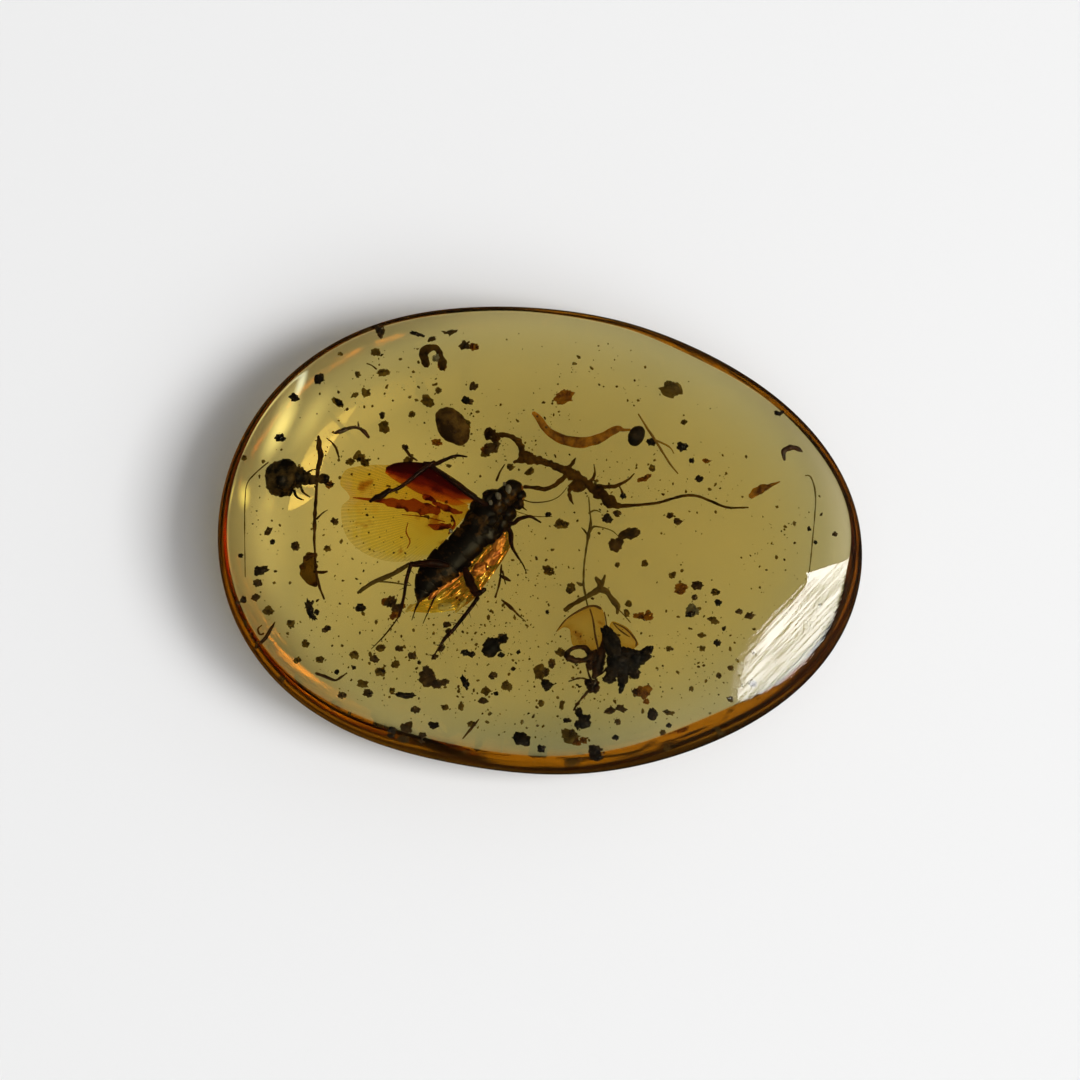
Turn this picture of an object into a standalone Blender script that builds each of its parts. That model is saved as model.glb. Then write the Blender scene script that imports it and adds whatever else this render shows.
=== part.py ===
"""A polished oval of fossil tree resin with a cockroach, a fly, a beetle and forest litter sealed inside.

The resin is one stone. It is parted here on a level plane, so that each thing sealed in it lies in a pocket that
opens on that plane. +X runs along the stone, +Y away from the viewer, +Z up, and the origin is under its middle.
Lengths are millimetres until solid_object() turns them into metres.
"""
import math

import bmesh
import bpy
from mathutils import Matrix, Vector, noise

MM = 0.001

# The stone: radius of its widest outline every 30 degrees from +X, and how far its face stands in from that
# outline every 15 degrees.
GIRDLE_RADII = (16.05, 13.95, 12.05, 11.7, 13.1, 15.25, 16.1, 14.85, 12.5, 11.8, 12.7, 14.95)
SHOULDER_INSETS = (
    0.62, 0.7, 0.78, 0.87, 0.76, 0.66, 0.6, 0.6, 0.62, 0.6, 0.6, 0.6,
    0.55, 0.47, 0.42, 0.4, 0.48, 0.45, 0.43, 0.58, 0.85, 1.02, 0.98, 1.02,
)
STONE_HEIGHT = 6.4
SHOULDER_HEIGHT = 5.0
GIRDLE_HEIGHT = 2.6
WALL_POWER = 2.5
DOME_POWER = 2.4
STONE_SIDES = 60
DOME_SHARES = (0.985, 0.9, 0.76, 0.56, 0.32, 0.1)

# Under its widest outline the wall turns in tightly to this slope, then runs gently down to the flat foot.
TIGHT_RADIUS = 1.1
TURN_SLOPE = math.radians(36)
TIGHT_STEPS = 2
GENTLE_STEPS = 3

# The flat that was polished onto the face at the near right corner.
FLAT_POINT = (13.3, -3.3, 5.227)
FLAT_TILT = math.radians(21.5)
FLAT_HEADING = math.radians(-39.5)

# The plane where the resin is parted, and the room left around what is sealed in it.
PARTING_HEIGHT = 3.5
PARTING_GAP = 0.05
POCKET_ROOM = 0.12
POCKET_SIDES = 10
POCKET_LAP = 0.25

# The photograph: millimetres in one of its pixels, its middle pixel, and how far a sealed thing seems to climb
# the picture for each millimetre that it stands above SHIFTLESS_HEIGHT, seen through the face at a slight lean.
PIXEL_WIDE = 0.05
PIXEL_TALL = 0.0508
MIDDLE_PIXEL = 540
CLIMB = 0.113
SHIFTLESS_HEIGHT = 0.6

TUBE_SIDES = 6


def spot(px, py, height):
    """The point at this height that shows at a pixel of the photograph."""
    x = (px - MIDDLE_PIXEL) * PIXEL_WIDE
    y = (MIDDLE_PIXEL - py) * PIXEL_TALL - CLIMB * (height - SHIFTLESS_HEIGHT)
    return Vector((x, y, height))


def around(values, angle):
    """The smooth closed curve through values that are spaced evenly round a turn."""
    count = len(values)
    total = 0.0
    for k, value in enumerate(values):
        gap = (angle - k * math.tau / count + math.pi) % math.tau - math.pi
        if abs(gap) < 1e-9:
            return value
        total += value * math.sin(count * gap / 2) / (count * math.tan(gap / 2))
    return total


def outline_point(angle, inset, height):
    reach = around(GIRDLE_RADII, angle) - inset
    return Vector((reach * math.cos(angle), reach * math.sin(angle), height))


def outline_ring(inset, height):
    """One ring of the wall. inset is a length, or a share of the shoulder's own inset given as a function."""
    angles = [k * math.tau / STONE_SIDES for k in range(STONE_SIDES)]
    return [outline_point(a, inset(a) if callable(inset) else inset, height) for a in angles]


def wall_ring(height):
    """A ring of the upper wall, which leans in from the girdle to the shoulder."""
    climb = (height - GIRDLE_HEIGHT) / (SHOULDER_HEIGHT - GIRDLE_HEIGHT)
    return outline_ring(lambda a: around(SHOULDER_INSETS, a) * climb**WALL_POWER, height)


def under_ring(slope):
    """A ring beneath the girdle, where the surface has this slope: a tight arc, then a gentle one to the foot."""
    turn_height = GIRDLE_HEIGHT - TIGHT_RADIUS * math.cos(TURN_SLOPE)
    gentle_radius = turn_height / (1 - math.cos(TURN_SLOPE))
    if slope > TURN_SLOPE:
        inset = TIGHT_RADIUS * (1 - math.sin(slope))
        return outline_ring(inset, GIRDLE_HEIGHT - TIGHT_RADIUS * math.cos(slope))
    inset = TIGHT_RADIUS * (1 - math.sin(TURN_SLOPE))
    inset += gentle_radius * (math.sin(TURN_SLOPE) - math.sin(slope))
    return outline_ring(inset, gentle_radius * (1 - math.cos(slope)))


def dome_ring(share):
    """A ring of the face, at this share of the way from its middle to the shoulder."""
    rise = STONE_HEIGHT - SHOULDER_HEIGHT
    height = SHOULDER_HEIGHT + rise * (1 - share**DOME_POWER)
    ring = []
    for k in range(STONE_SIDES):
        angle = k * math.tau / STONE_SIDES
        reach = (around(GIRDLE_RADII, angle) - around(SHOULDER_INSETS, angle)) * share
        ring.append(Vector((reach * math.cos(angle), reach * math.sin(angle), height)))
    return ring


def ringed_solid(rings):
    """(points, faces) of the closed solid through rings with the same number of points, flat at both ends."""
    sides = len(rings[0])
    points = [p for ring in rings for p in ring]
    faces = [list(range(sides))[::-1]]
    for level in range(len(rings) - 1):
        low = level * sides
        for k in range(sides):
            after = (k + 1) % sides
            faces.append([low + k, low + after, low + sides + after, low + sides + k])
    faces.append(list(range(len(points) - sides, len(points))))
    return points, faces


def tube(path, radii, flat=1.0, sides=TUBE_SIDES):
    """A closed tube along path, radii wide there. flat is its height over its width."""
    rings = []
    for k, here in enumerate(path):
        ahead = (path[min(k + 1, len(path) - 1)] - path[max(k - 1, 0)]).normalized()
        across = ahead.cross(Vector((0, 0, 1))).normalized()
        up = across.cross(ahead)
        ring = []
        for side in range(sides):
            turn = (side + 0.5) * math.tau / sides
            ring.append(here + radii[k] * (across * math.cos(turn) + up * math.sin(turn) * flat))
        rings.append(ring)
    return ringed_solid(rings)


def limb(pixels, heights, radii, flat=1.0, sides=TUBE_SIDES):
    """A tube through pixels of the photograph, evenly between the first and last height."""
    count = len(pixels)
    path = []
    for k, (px, py) in enumerate(pixels):
        share = k / (count - 1)
        path.append(spot(px, py, heights[0] + (heights[-1] - heights[0]) * share))
    first, last = radii
    sizes = [first + (last - first) * k / (count - 1) for k in range(count)]
    return tube(path, sizes, flat, sides)


def sheet(rows, thickness):
    """A closed thin slab on a grid of points, such as a wing."""
    across = len(rows[0])
    middle = [p for row in rows for p in row]
    count = len(middle)
    lift = Vector((0, 0, thickness / 2))
    points = [p + lift for p in middle] + [p - lift for p in middle]
    faces = []
    for i in range(len(rows) - 1):
        for j in range(across - 1):
            a, b = i * across + j, i * across + j + 1
            c, d = b + across, a + across
            faces += [[a, b, c, d], [a + count, d + count, c + count, b + count]]
    rim = list(range(across))
    rim += [i * across + across - 1 for i in range(1, len(rows))]
    rim += [(len(rows) - 1) * across + j for j in range(across - 2, -1, -1)]
    rim += [i * across for i in range(len(rows) - 2, 0, -1)]
    for k, a in enumerate(rim):
        b = rim[(k + 1) % len(rim)]
        faces.append([b, a, a + count, b + count])
    return points, faces


def lump(px, py, height, size, turn=0.0, rough=0.25, seed=0, cuts=1):
    """A closed irregular lump. size is its half length, half width and half height; turn is in degrees."""
    ball = bmesh.new()
    bmesh.ops.create_icosphere(ball, subdivisions=cuts + 1, radius=1.0)
    aim = Matrix.Rotation(math.radians(turn), 3, "Z")
    centre = spot(px, py, height)
    points = []
    for vert in ball.verts:
        swell = 1 + rough * noise.noise(vert.co * 1.7 + Vector((seed * 7.3, seed * 1.9, 0)))
        shaped = Vector([vert.co[k] * size[k] * swell for k in range(3)])
        points.append(centre + aim @ shaped)
    faces = [[v.index for v in face.verts] for face in ball.faces]
    ball.free()
    return points, faces


def material(name, colour, roughness=0.5, clear=0.0):
    made = bpy.data.materials.new(name)
    made.use_nodes = True
    shader = made.node_tree.nodes["Principled BSDF"]
    shader.inputs["Base Color"].default_value = (*colour, 1)
    shader.inputs["Roughness"].default_value = roughness
    shader.inputs["Transmission Weight"].default_value = clear
    shader.inputs["IOR"].default_value = 1.54
    made.diffuse_color = (*colour, 1)
    return made


def solid_object(name, shape, finish, collection):
    """The closed mesh of shape, in metres, as an object in a collection."""
    points, faces = shape
    mesh = bpy.data.meshes.new(name)
    mesh.from_pydata([p * MM for p in points], [], faces)
    work = bmesh.new()
    work.from_mesh(mesh)
    bmesh.ops.recalc_face_normals(work, faces=work.faces)
    work.to_mesh(mesh)
    work.free()
    mesh.materials.append(finish)
    made = bpy.data.objects.new(name, mesh)
    collection.objects.link(made)
    return made


def hidden_collection(name):
    made = bpy.data.collections.new(name)
    bpy.context.scene.collection.children.link(made)
    made.hide_render = True
    return made


POCKETS = []


def sealed_piece(name, shapes, finish):
    """One sealed thing: its first shape, joined with the others, and the pocket that it lies in."""
    first = solid_object(name, shapes[0], finish, bpy.context.scene.collection)
    if len(shapes) > 1:
        joined = hidden_collection(name + "_parts")
        for number, shape in enumerate(shapes[1:]):
            part = solid_object(f"{name}_part_{number}", shape, finish, joined)
            part.hide_render = True
            part.display_type = "WIRE"
        union = first.modifiers.new("grown together", "BOOLEAN")
        union.operation = "UNION"
        union.solver = "EXACT"
        union.operand_type = "COLLECTION"
        union.collection = joined
    POCKETS.append((name, fence([p for points, _ in shapes for p in points])))
    return first


def fence(points):
    """A many-sided prism around points, with room to spare, that crosses the parting plane."""
    reaches = []
    for k in range(POCKET_SIDES):
        angle = k * math.tau / POCKET_SIDES
        along = Vector((math.cos(angle), math.sin(angle), 0))
        reaches.append((along, max(p.dot(along) for p in points) + POCKET_ROOM))
    low = min(min(p.z for p in points) - POCKET_ROOM, PARTING_HEIGHT - POCKET_LAP)
    high = max(max(p.z for p in points) + POCKET_ROOM, PARTING_HEIGHT + POCKET_LAP)
    corners = []
    for k, (along, reach) in enumerate(reaches):
        after, after_reach = reaches[(k + 1) % POCKET_SIDES]
        turn = along.x * after.y - along.y * after.x
        x = (reach * after.y - after_reach * along.y) / turn
        y = (after_reach * along.x - reach * after.x) / turn
        corners.append((x, y))
    return ringed_solid([[Vector((x, y, z)) for x, y in corners] for z in (low, high)])


# The cockroach: stations along its back in pixels, with the body's half width and half height there.
ROACH_HEIGHT = 4.0
ROACH_BODY = (
    (519, 484, 0.12, 0.12),
    (515, 489, 0.46, 0.34),
    (510, 496, 0.62, 0.42),
    (503, 503, 0.74, 0.47),
    (494, 514, 0.95, 0.5),
    (484, 527, 1.08, 0.52),
    (473, 536, 1.04, 0.5),
    (463, 545, 0.95, 0.48),
    (447, 558, 0.82, 0.44),
    (435, 568, 0.76, 0.38),
    (427, 578, 0.58, 0.3),
    (423, 590, 0.33, 0.22),
    (420, 602, 0.07, 0.07),
)
ROACH_SIDES = 12
# From this station to the last but two, each station starts a plate of the abdomen, and the plate before it ends a
# little narrower, just short of it.
FIRST_PLATE = 5
PLATE_END_SHARE = 0.88
PLATE_GAP = 0.11
WING_THICKNESS = 0.09
WING_COLUMNS = 4
WING_CROWN = 0.5
# The forewing's front and rear edges, from its hinge to its tip.
FOREWING_FRONT = ((478, 497), (462, 484), (450, 476), (437, 468), (424, 464), (410, 463), (397, 465), (386, 470))
FOREWING_REAR = ((478, 504), (462, 505), (448, 505), (435, 501), (422, 496), (410, 490), (399, 483), (387, 474))
FOREWING_HEIGHTS = (4.3, 4.55)
# The hind wing opens like a fan: its hinge, and its margin from front to rear.
HINDWING_HINGE = (472, 512)
HINDWING_MARGIN = (
    (386, 467), (350, 469), (344, 476), (343, 487), (348, 497), (344, 505), (344, 516), (347, 528), (352, 540),
    (362, 550), (375, 556), (390, 560), (405, 561), (420, 560), (434, 554),
)
HINDWING_HEIGHTS = (4.1, 3.75)
HINDWING_RAYS = 27
HINDWING_SHARES = (0.07, 0.38, 0.7, 1.0)
PLEAT_DEPTH = 0.09
# The other wing lies crumpled along the abdomen.
FOLDED_OUTER = (
    (510, 529), (512, 541), (504, 558), (491, 576), (478, 592), (465, 604), (448, 609), (429, 611), (411, 609),
)
FOLDED_INNER = (
    (498, 532), (488, 542), (475, 554), (463, 566), (451, 577), (440, 587), (430, 594), (420, 600), (410, 606),
)
FOLDED_HEIGHTS = (3.82, 3.61)
# Each leg's part: its pixels, first and last height, first and last radius.
ROACH_LEGS = (
    (((488, 508), (462, 492), (437, 468), (427, 463)), (4.45, 4.75), (0.16, 0.13)),
    (((437, 466), (447, 460), (457, 458), (468, 458)), (4.7, 4.75), (0.11, 0.05)),
    (((434, 464), (420, 474), (404, 487), (388, 493)), (4.72, 4.85), (0.13, 0.1)),
    (((391, 492), (381, 497), (372, 501)), (4.84, 4.8), (0.15, 0.12)),
    (((502, 524), (514, 524), (521, 519), (531, 518), (540, 523)), (4.0, 4.2), (0.13, 0.05)),
    (((505, 524), (513, 535), (512, 547), (518, 557), (526, 572)), (3.9, 4.2), (0.14, 0.04)),
    (((470, 560), (468, 574), (472, 585), (479, 594)), (3.9, 4.5), (0.2, 0.2)),
    (((474, 588), (480, 592), (486, 589)), (4.5, 4.55), (0.15, 0.12)),
    (((478, 592), (470, 608), (460, 621), (449, 633), (440, 646), (434, 655)), (4.5, 4.4), (0.12, 0.05)),
    (((450, 563), (434, 564), (420, 562), (411, 567)), (4.2, 4.55), (0.2, 0.13)),
    (((412, 565), (409, 580), (406, 596), (402, 613)), (4.5, 4.5), (0.12, 0.08)),
    (((402, 611), (396, 621), (387, 632), (375, 645)), (4.5, 4.4), (0.07, 0.04)),
    (((414, 564), (402, 569), (388, 575), (374, 583), (362, 591)), (4.4, 3.9), (0.09, 0.05)),
    (((421, 599), (417, 608), (414, 618)), (3.95, 3.9), (0.06, 0.04)),
    (((438, 592), (433, 603), (425, 620)), (3.8, 3.8), (0.07, 0.04)),
    (((518, 500), (532, 503), (550, 501), (564, 491)), (4.0, 4.1), (0.06, 0.03)),
)


def oval_ring(centre, across, half_width, half_height):
    ring = []
    for side in range(ROACH_SIDES):
        turn = side * math.tau / ROACH_SIDES
        lift = Vector((0, 0, half_height * math.sin(turn)))
        ring.append(centre + across * half_width * math.cos(turn) + lift)
    return ring


def roach_body():
    rings = []
    path = [spot(px, py, ROACH_HEIGHT) for px, py, _, _ in ROACH_BODY]
    for k, here in enumerate(path):
        ahead = (path[min(k + 1, len(path) - 1)] - path[max(k - 1, 0)]).normalized()
        across = ahead.cross(Vector((0, 0, 1)))
        wide, tall = ROACH_BODY[k][2:]
        if FIRST_PLATE <= k < len(path) - 2:
            before = here - ahead * PLATE_GAP
            rings.append(oval_ring(before, across, wide * PLATE_END_SHARE, tall * PLATE_END_SHARE))
        rings.append(oval_ring(here, across, wide, tall))
    return ringed_solid(rings)


def strip_wing(front, rear, heights):
    """A wing between two edges given in pixels, bulging a little across its width."""
    rows = []
    for k, (ahead, behind) in enumerate(zip(front, rear)):
        height = heights[0] + (heights[1] - heights[0]) * k / (len(front) - 1)
        start, end = spot(*ahead, height), spot(*behind, height)
        row = []
        for column in range(WING_COLUMNS):
            share = column / (WING_COLUMNS - 1)
            crown = Vector((0, 0, WING_CROWN * share * (1 - share)))
            row.append(start.lerp(end, share) + crown)
        rows.append(row)
    return sheet(rows, WING_THICKNESS)


def along(points, share):
    """The point at this share of the way through a list of pixels."""
    place = share * (len(points) - 1)
    k = min(int(place), len(points) - 2)
    part = place - k
    return [points[k][i] + (points[k + 1][i] - points[k][i]) * part for i in range(2)]


def pleated_wing():
    """The hind wing: rays from the hinge to the margin, alternately raised and lowered."""
    rows = []
    hinge = spot(*HINDWING_HINGE, HINDWING_HEIGHTS[0])
    for ray in range(HINDWING_RAYS):
        turn = ray / (HINDWING_RAYS - 1)
        height = HINDWING_HEIGHTS[0] + (HINDWING_HEIGHTS[1] - HINDWING_HEIGHTS[0]) * turn
        tip = spot(*along(HINDWING_MARGIN, turn), height)
        fold = PLEAT_DEPTH if ray % 2 else -PLEAT_DEPTH
        row = []
        for share in HINDWING_SHARES:
            row.append(hinge.lerp(tip, share) + Vector((0, 0, fold * share)))
        rows.append(row)
    return sheet(rows, WING_THICKNESS)


def make_cockroach(finish):
    shapes = [roach_body()]
    shapes.append(strip_wing(FOREWING_FRONT, FOREWING_REAR, FOREWING_HEIGHTS))
    shapes.append(pleated_wing())
    shapes.append(strip_wing(FOLDED_OUTER, FOLDED_INNER, FOLDED_HEIGHTS))
    for pixels, heights, radii in ROACH_LEGS:
        shapes.append(limb(pixels, heights, radii, sides=5))
    sealed_piece("cockroach", shapes, finish)


# The small fly lies right of the middle, its two wings spread.
FLY_HEIGHT = 3.9
FLY_LEFT_FRONT = ((603, 640), (603, 622), (596, 605), (582, 608), (568, 616), (556, 630))
FLY_LEFT_REAR = ((597, 648), (592, 645), (585, 643), (576, 642), (568, 637), (559, 632))
FLY_RIGHT_FRONT = ((604, 628), (611, 620), (620, 621), (629, 628), (636, 638))
FLY_RIGHT_REAR = ((606, 638), (613, 641), (620, 645), (628, 647), (635, 644))
FLY_BODY = ((603, 622), (603, 632), (598, 645), (594, 658), (592, 668))
FLY_HEAD = ((566, 649), (574, 656), (585, 656), (598, 653))


def make_fly(finish):
    shapes = [limb(FLY_BODY, (FLY_HEIGHT, FLY_HEIGHT), (0.22, 0.34), flat=0.8)]
    shapes.append(strip_wing(FLY_LEFT_FRONT, FLY_LEFT_REAR, (FLY_HEIGHT, FLY_HEIGHT)))
    shapes.append(strip_wing(FLY_RIGHT_FRONT, FLY_RIGHT_REAR, (FLY_HEIGHT, FLY_HEIGHT)))
    shapes.append(limb(FLY_HEAD, (FLY_HEIGHT, FLY_HEIGHT), (0.16, 0.22), sides=5))
    sealed_piece("small_fly", shapes, finish)


# The beetle lies against the stalk near the left edge.
BEETLE_HEIGHT = 4.0


def make_beetle(finish):
    shapes = [lump(286, 478, BEETLE_HEIGHT, (0.88, 0.76, 0.5), -12, 0.12, 3)]
    shapes.append(lump(302, 478, BEETLE_HEIGHT, (0.46, 0.4, 0.34), 0, 0.15, 4))
    shapes.append(lump(313, 480, BEETLE_HEIGHT, (0.32, 0.26, 0.26), 0, 0.15, 5))
    for pixels in (((303, 482), (307, 490), (311, 496)), ((296, 486), (299, 494), (303, 499))):
        shapes.append(limb(pixels, (BEETLE_HEIGHT, BEETLE_HEIGHT), (0.09, 0.05), sides=5))
    sealed_piece("beetle", shapes, finish)


# The twig and what grew from it, each part to its next fork.
TWIG_HEIGHT = 3.1
TWIG = (
    ((491, 438), 0.1), ((503, 437), 0.09), ((511, 439), 0.11), ((520, 445), 0.12), ((522, 455), 0.13),
    ((527, 460), 0.2), ((545, 465), 0.15), ((562, 471), 0.18), ((576, 478), 0.2), ((586, 484), 0.17),
    ((597, 494), 0.26), ((609, 503), 0.27), ((618, 507), 0.17),
)
TWIG_STUB = ((563, 471), (570, 463), (576, 460))
ROOTLET = (
    (623, 508), (635, 506), (657, 504), (669, 499), (680, 496), (692, 497), (706, 501), (718, 506), (730, 508),
    (744, 508),
)
LEFT_FORK = ((560, 478), (555, 485), (549, 489), (541, 489), (532, 487), (526, 488))
RIGHT_FORK = ((597, 486), (603, 488), (612, 487), (621, 485), (628, 481), (633, 477))
FORKED_ROOTLET = ((564, 608), (578, 601), (591, 594), (600, 589), (608, 593), (614, 601), (616, 608))
FORKED_STUB = ((600, 590), (599, 580), (604, 574))


def make_twig(bark):
    path = [spot(px, py, TWIG_HEIGHT) for (px, py), _ in TWIG]
    stem = tube(path, [radius for _, radius in TWIG])
    stub = limb(TWIG_STUB, (TWIG_HEIGHT, TWIG_HEIGHT + 0.2), (0.16, 0.05))
    clod = lump(491, 438, TWIG_HEIGHT, (0.34, 0.3, 0.25), 20, 0.4, 8)
    sealed_piece("twig_main", [stem, stub, clod], bark)
    sealed_piece("twig_rootlet", [limb(ROOTLET, (TWIG_HEIGHT, 2.9), (0.09, 0.06))], bark)
    sealed_piece("twig_left_fork", [limb(LEFT_FORK, (TWIG_HEIGHT, 3.6), (0.12, 0.09))], bark)
    sealed_piece("twig_right_fork", [limb(RIGHT_FORK, (TWIG_HEIGHT, 3.3), (0.08, 0.05))], bark)
    fork = limb(FORKED_ROOTLET, (2.9, 2.9), (0.09, 0.14))
    sealed_piece("forked_rootlet", [fork, limb(FORKED_STUB, (2.9, 2.9), (0.13, 0.09))], bark)


# Long thin things: their pixels, heights and radii.
STALK = (
    (320, 438), (322, 455), (320, 475), (319, 498), (318, 523), (318, 545), (319, 566), (323, 582), (328, 597),
)
STALK_SCALE = ((313, 556), (313, 566), (314, 577))
SEED_POD = (
    ((532, 416), 0.09), ((537, 420), 0.15), ((544, 428), 0.2), ((553, 436), 0.22), ((564, 441), 0.23),
    ((576, 444), 0.23), ((588, 444), 0.22), ((600, 439), 0.2), ((611, 434), 0.18), ((620, 431), 0.13),
    ((626, 432), 0.06),
)
STRAW = ((638, 418), (645, 429), (652, 440), (660, 452), (667, 463), (675, 474))
STRAW_SHOOT = ((655, 442), (663, 446), (671, 452))
HAIR = ((806, 475), (810, 491), (810, 509), (808, 532), (805, 555), (804, 575))
LONG_STALK = ((591, 505), (591, 523), (587, 540), (585, 556), (583, 577), (585, 598))
CURLED_FLAKE = ((438, 366), (441, 358), (436, 351), (428, 350), (423, 356), (425, 363), (430, 367))
HUSK = ((781, 459), (783, 449), (790, 448), (799, 451))
LEAF_SLIVER = ((740, 501), (750, 495), (759, 490), (768, 486), (777, 483))
EDGE_SPLINTER = ((279, 619), (275, 628), (269, 635), (264, 640))
COMMA_SPLINTER = ((340, 433), (347, 431), (356, 431), (363, 434), (370, 438))


def make_litter(brown, dark, straw_gold, bark):
    scale = limb(STALK_SCALE, (3.2, 3.2), (0.48, 0.4), flat=0.35)
    sealed_piece("left_stalk", [limb(STALK, (3.2, 3.2), (0.12, 0.07)), scale], bark)
    pod = tube([spot(px, py, 3.9) for (px, py), _ in SEED_POD], [r for _, r in SEED_POD], flat=0.6)
    sealed_piece("seed_pod", [pod], brown)
    sealed_piece("seed", [lump(635, 438, 3.9, (0.52, 0.36, 0.3), 62, 0.08, 1)], dark)
    shoot = limb(STRAW_SHOOT, (4.1, 4.1), (0.06, 0.05))
    sealed_piece("straw", [limb(STRAW, (4.1, 4.1), (0.05, 0.05)), shoot], straw_gold)
    sealed_piece("hair_strand", [limb(HAIR, (3.4, 3.4), (0.05, 0.05))], bark)
    sealed_piece("long_stalk", [limb(LONG_STALK, (3.6, 3.6), (0.07, 0.05))], bark)
    sealed_piece("bark_grain", [lump(453, 428, 4.0, (1.02, 0.68, 0.45), -52, 0.15, 2)], brown)
    sealed_piece("curled_flake", [limb(CURLED_FLAKE, (3.8, 3.8), (0.15, 0.22), flat=0.8)], brown)
    sealed_piece("husk", [limb(HUSK, (4.0, 4.0), (0.14, 0.1), flat=0.8)], dark)
    sealed_piece("leaf_sliver", [limb(LEAF_SLIVER, (3.9, 3.9), (0.16, 0.06), flat=0.5)], straw_gold)
    sealed_piece("edge_splinter", [limb(EDGE_SPLINTER, (3.7, 3.7), (0.09, 0.1))], dark)
    sealed_piece("comma_splinter", [limb(COMMA_SPLINTER, (3.9, 3.9), (0.1, 0.08))], dark)


# The clump of litter over the fly's tail: a middle lump and the ones grown into it.
CLUMP_HEIGHT = 4.6
CLUMP_HALF_HEIGHT = 0.28
LITTER_CLUMP = (
    (621, 660, 0.72, 0.66, 0), (610, 639, 0.8, 0.34, 108), (638, 653, 0.66, 0.32, 28), (612, 668, 0.44, 0.32, 45),
    (621, 675, 0.4, 0.24, 80), (632, 667, 0.36, 0.24, -40),
)
CRUMB_FLATNESS = 0.8
# Loose crumbs: pixel, height, half length, half width, turn in degrees.
CRUMBS = (
    (493, 644, 4.3, 0.5, 0.36, 30),
    (432, 673, 4.0, 0.55, 0.38, 20),
    (405, 691, 4.2, 0.45, 0.17, 0),
    (466, 678, 4.2, 0.42, 0.14, -65),
    (313, 607, 4.0, 0.5, 0.17, -75),
    (522, 733, 3.9, 0.42, 0.27, -25),
    (580, 717, 4.2, 0.55, 0.34, 75),
    (595, 745, 3.7, 0.34, 0.26, -20),
    (651, 710, 4.2, 0.26, 0.22, 0),
    (265, 568, 4.0, 0.38, 0.24, 20),
    (614, 545, 3.6, 0.32, 0.28, 60),
    (627, 534, 3.6, 0.42, 0.27, 10),
    (689, 611, 4.0, 0.36, 0.28, 20),
    (547, 681, 4.1, 0.28, 0.24, 0),
)


def make_crumbs(dark):
    shapes = []
    for number, (px, py, long, wide, turn) in enumerate(LITTER_CLUMP):
        size = (long, wide, CLUMP_HALF_HEIGHT)
        shapes.append(lump(px, py, CLUMP_HEIGHT, size, turn, 0.45, number + 20))
    sealed_piece("litter_clump", shapes, dark)
    for number, (px, py, height, long, wide, turn) in enumerate(CRUMBS):
        size = (long, wide, min(long, wide) * CRUMB_FLATNESS)
        crumb = lump(px, py, height, size, turn, 0.4, number + 40, 0)
        sealed_piece(f"crumb_{number + 1}", [crumb], dark)


def cut_flat(work):
    """Polishes the flat onto the face of the upper half."""
    lean = Vector((math.cos(FLAT_HEADING), math.sin(FLAT_HEADING), 0)) * math.sin(FLAT_TILT)
    facing = lean + Vector((0, 0, math.cos(FLAT_TILT)))
    everything = work.verts[:] + work.edges[:] + work.faces[:]
    bmesh.ops.bisect_plane(
        work, geom=everything, plane_co=Vector(FLAT_POINT) * MM, plane_no=facing, clear_outer=True
    )
    open_edges = [edge for edge in work.edges if edge.is_boundary]
    bmesh.ops.holes_fill(work, edges=open_edges)


def make_resin(finish):
    """The two halves of the stone, each with the pockets cut out of it."""
    lower = [under_ring(TURN_SLOPE * step / GENTLE_STEPS) for step in range(GENTLE_STEPS)]
    for step in range(TIGHT_STEPS + 1):
        lower.append(under_ring(TURN_SLOPE + (math.pi / 2 - TURN_SLOPE) * step / TIGHT_STEPS))
    lower.append(wall_ring(PARTING_HEIGHT - PARTING_GAP / 2))
    upper = [wall_ring(PARTING_HEIGHT + PARTING_GAP / 2), wall_ring(4.3), wall_ring(SHOULDER_HEIGHT)]
    upper += [dome_ring(share) for share in DOME_SHARES]
    scene = bpy.context.scene.collection
    pockets = hidden_collection("pockets")
    for name, shape in POCKETS:
        pocket = solid_object(name + "_pocket", shape, finish, pockets)
        pocket.hide_render = True
        pocket.display_type = "WIRE"
    for name, rings in (("amber_lower", lower), ("amber_upper", upper)):
        half = solid_object(name, ringed_solid(rings), finish, scene)
        if name == "amber_upper":
            work = bmesh.new()
            work.from_mesh(half.data)
            cut_flat(work)
            bmesh.ops.recalc_face_normals(work, faces=work.faces)
            work.to_mesh(half.data)
            work.free()
        half.data.shade_smooth()
        half.data.set_sharp_from_angle(angle=math.radians(25))
        cut = half.modifiers.new("pockets", "BOOLEAN")
        cut.operation = "DIFFERENCE"
        cut.solver = "EXACT"
        cut.operand_type = "COLLECTION"
        cut.collection = pockets


def main():
    for old in list(bpy.data.objects):
        bpy.data.objects.remove(old)
    amber = material("amber", (0.63, 0.53, 0.25), 0.04, clear=1.0)
    insect = material("insect_brown", (0.05, 0.02, 0.01), 0.35)
    fly = material("fly_brown", (0.32, 0.17, 0.03), 0.5)
    bark = material("bark_olive", (0.13, 0.09, 0.03), 0.8)
    brown = material("husk_brown", (0.15, 0.08, 0.02), 0.7)
    dark = material("litter_black", (0.02, 0.014, 0.01), 0.8)
    straw_gold = material("straw_gold", (0.3, 0.16, 0.03), 0.6)
    make_cockroach(insect)
    make_fly(fly)
    make_beetle(dark)
    make_twig(bark)
    make_litter(brown, dark, straw_gold, bark)
    make_crumbs(dark)
    make_resin(amber)


main()
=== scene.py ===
import math
import random

import bmesh
import bpy
from mathutils import Matrix, Vector, noise


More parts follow.
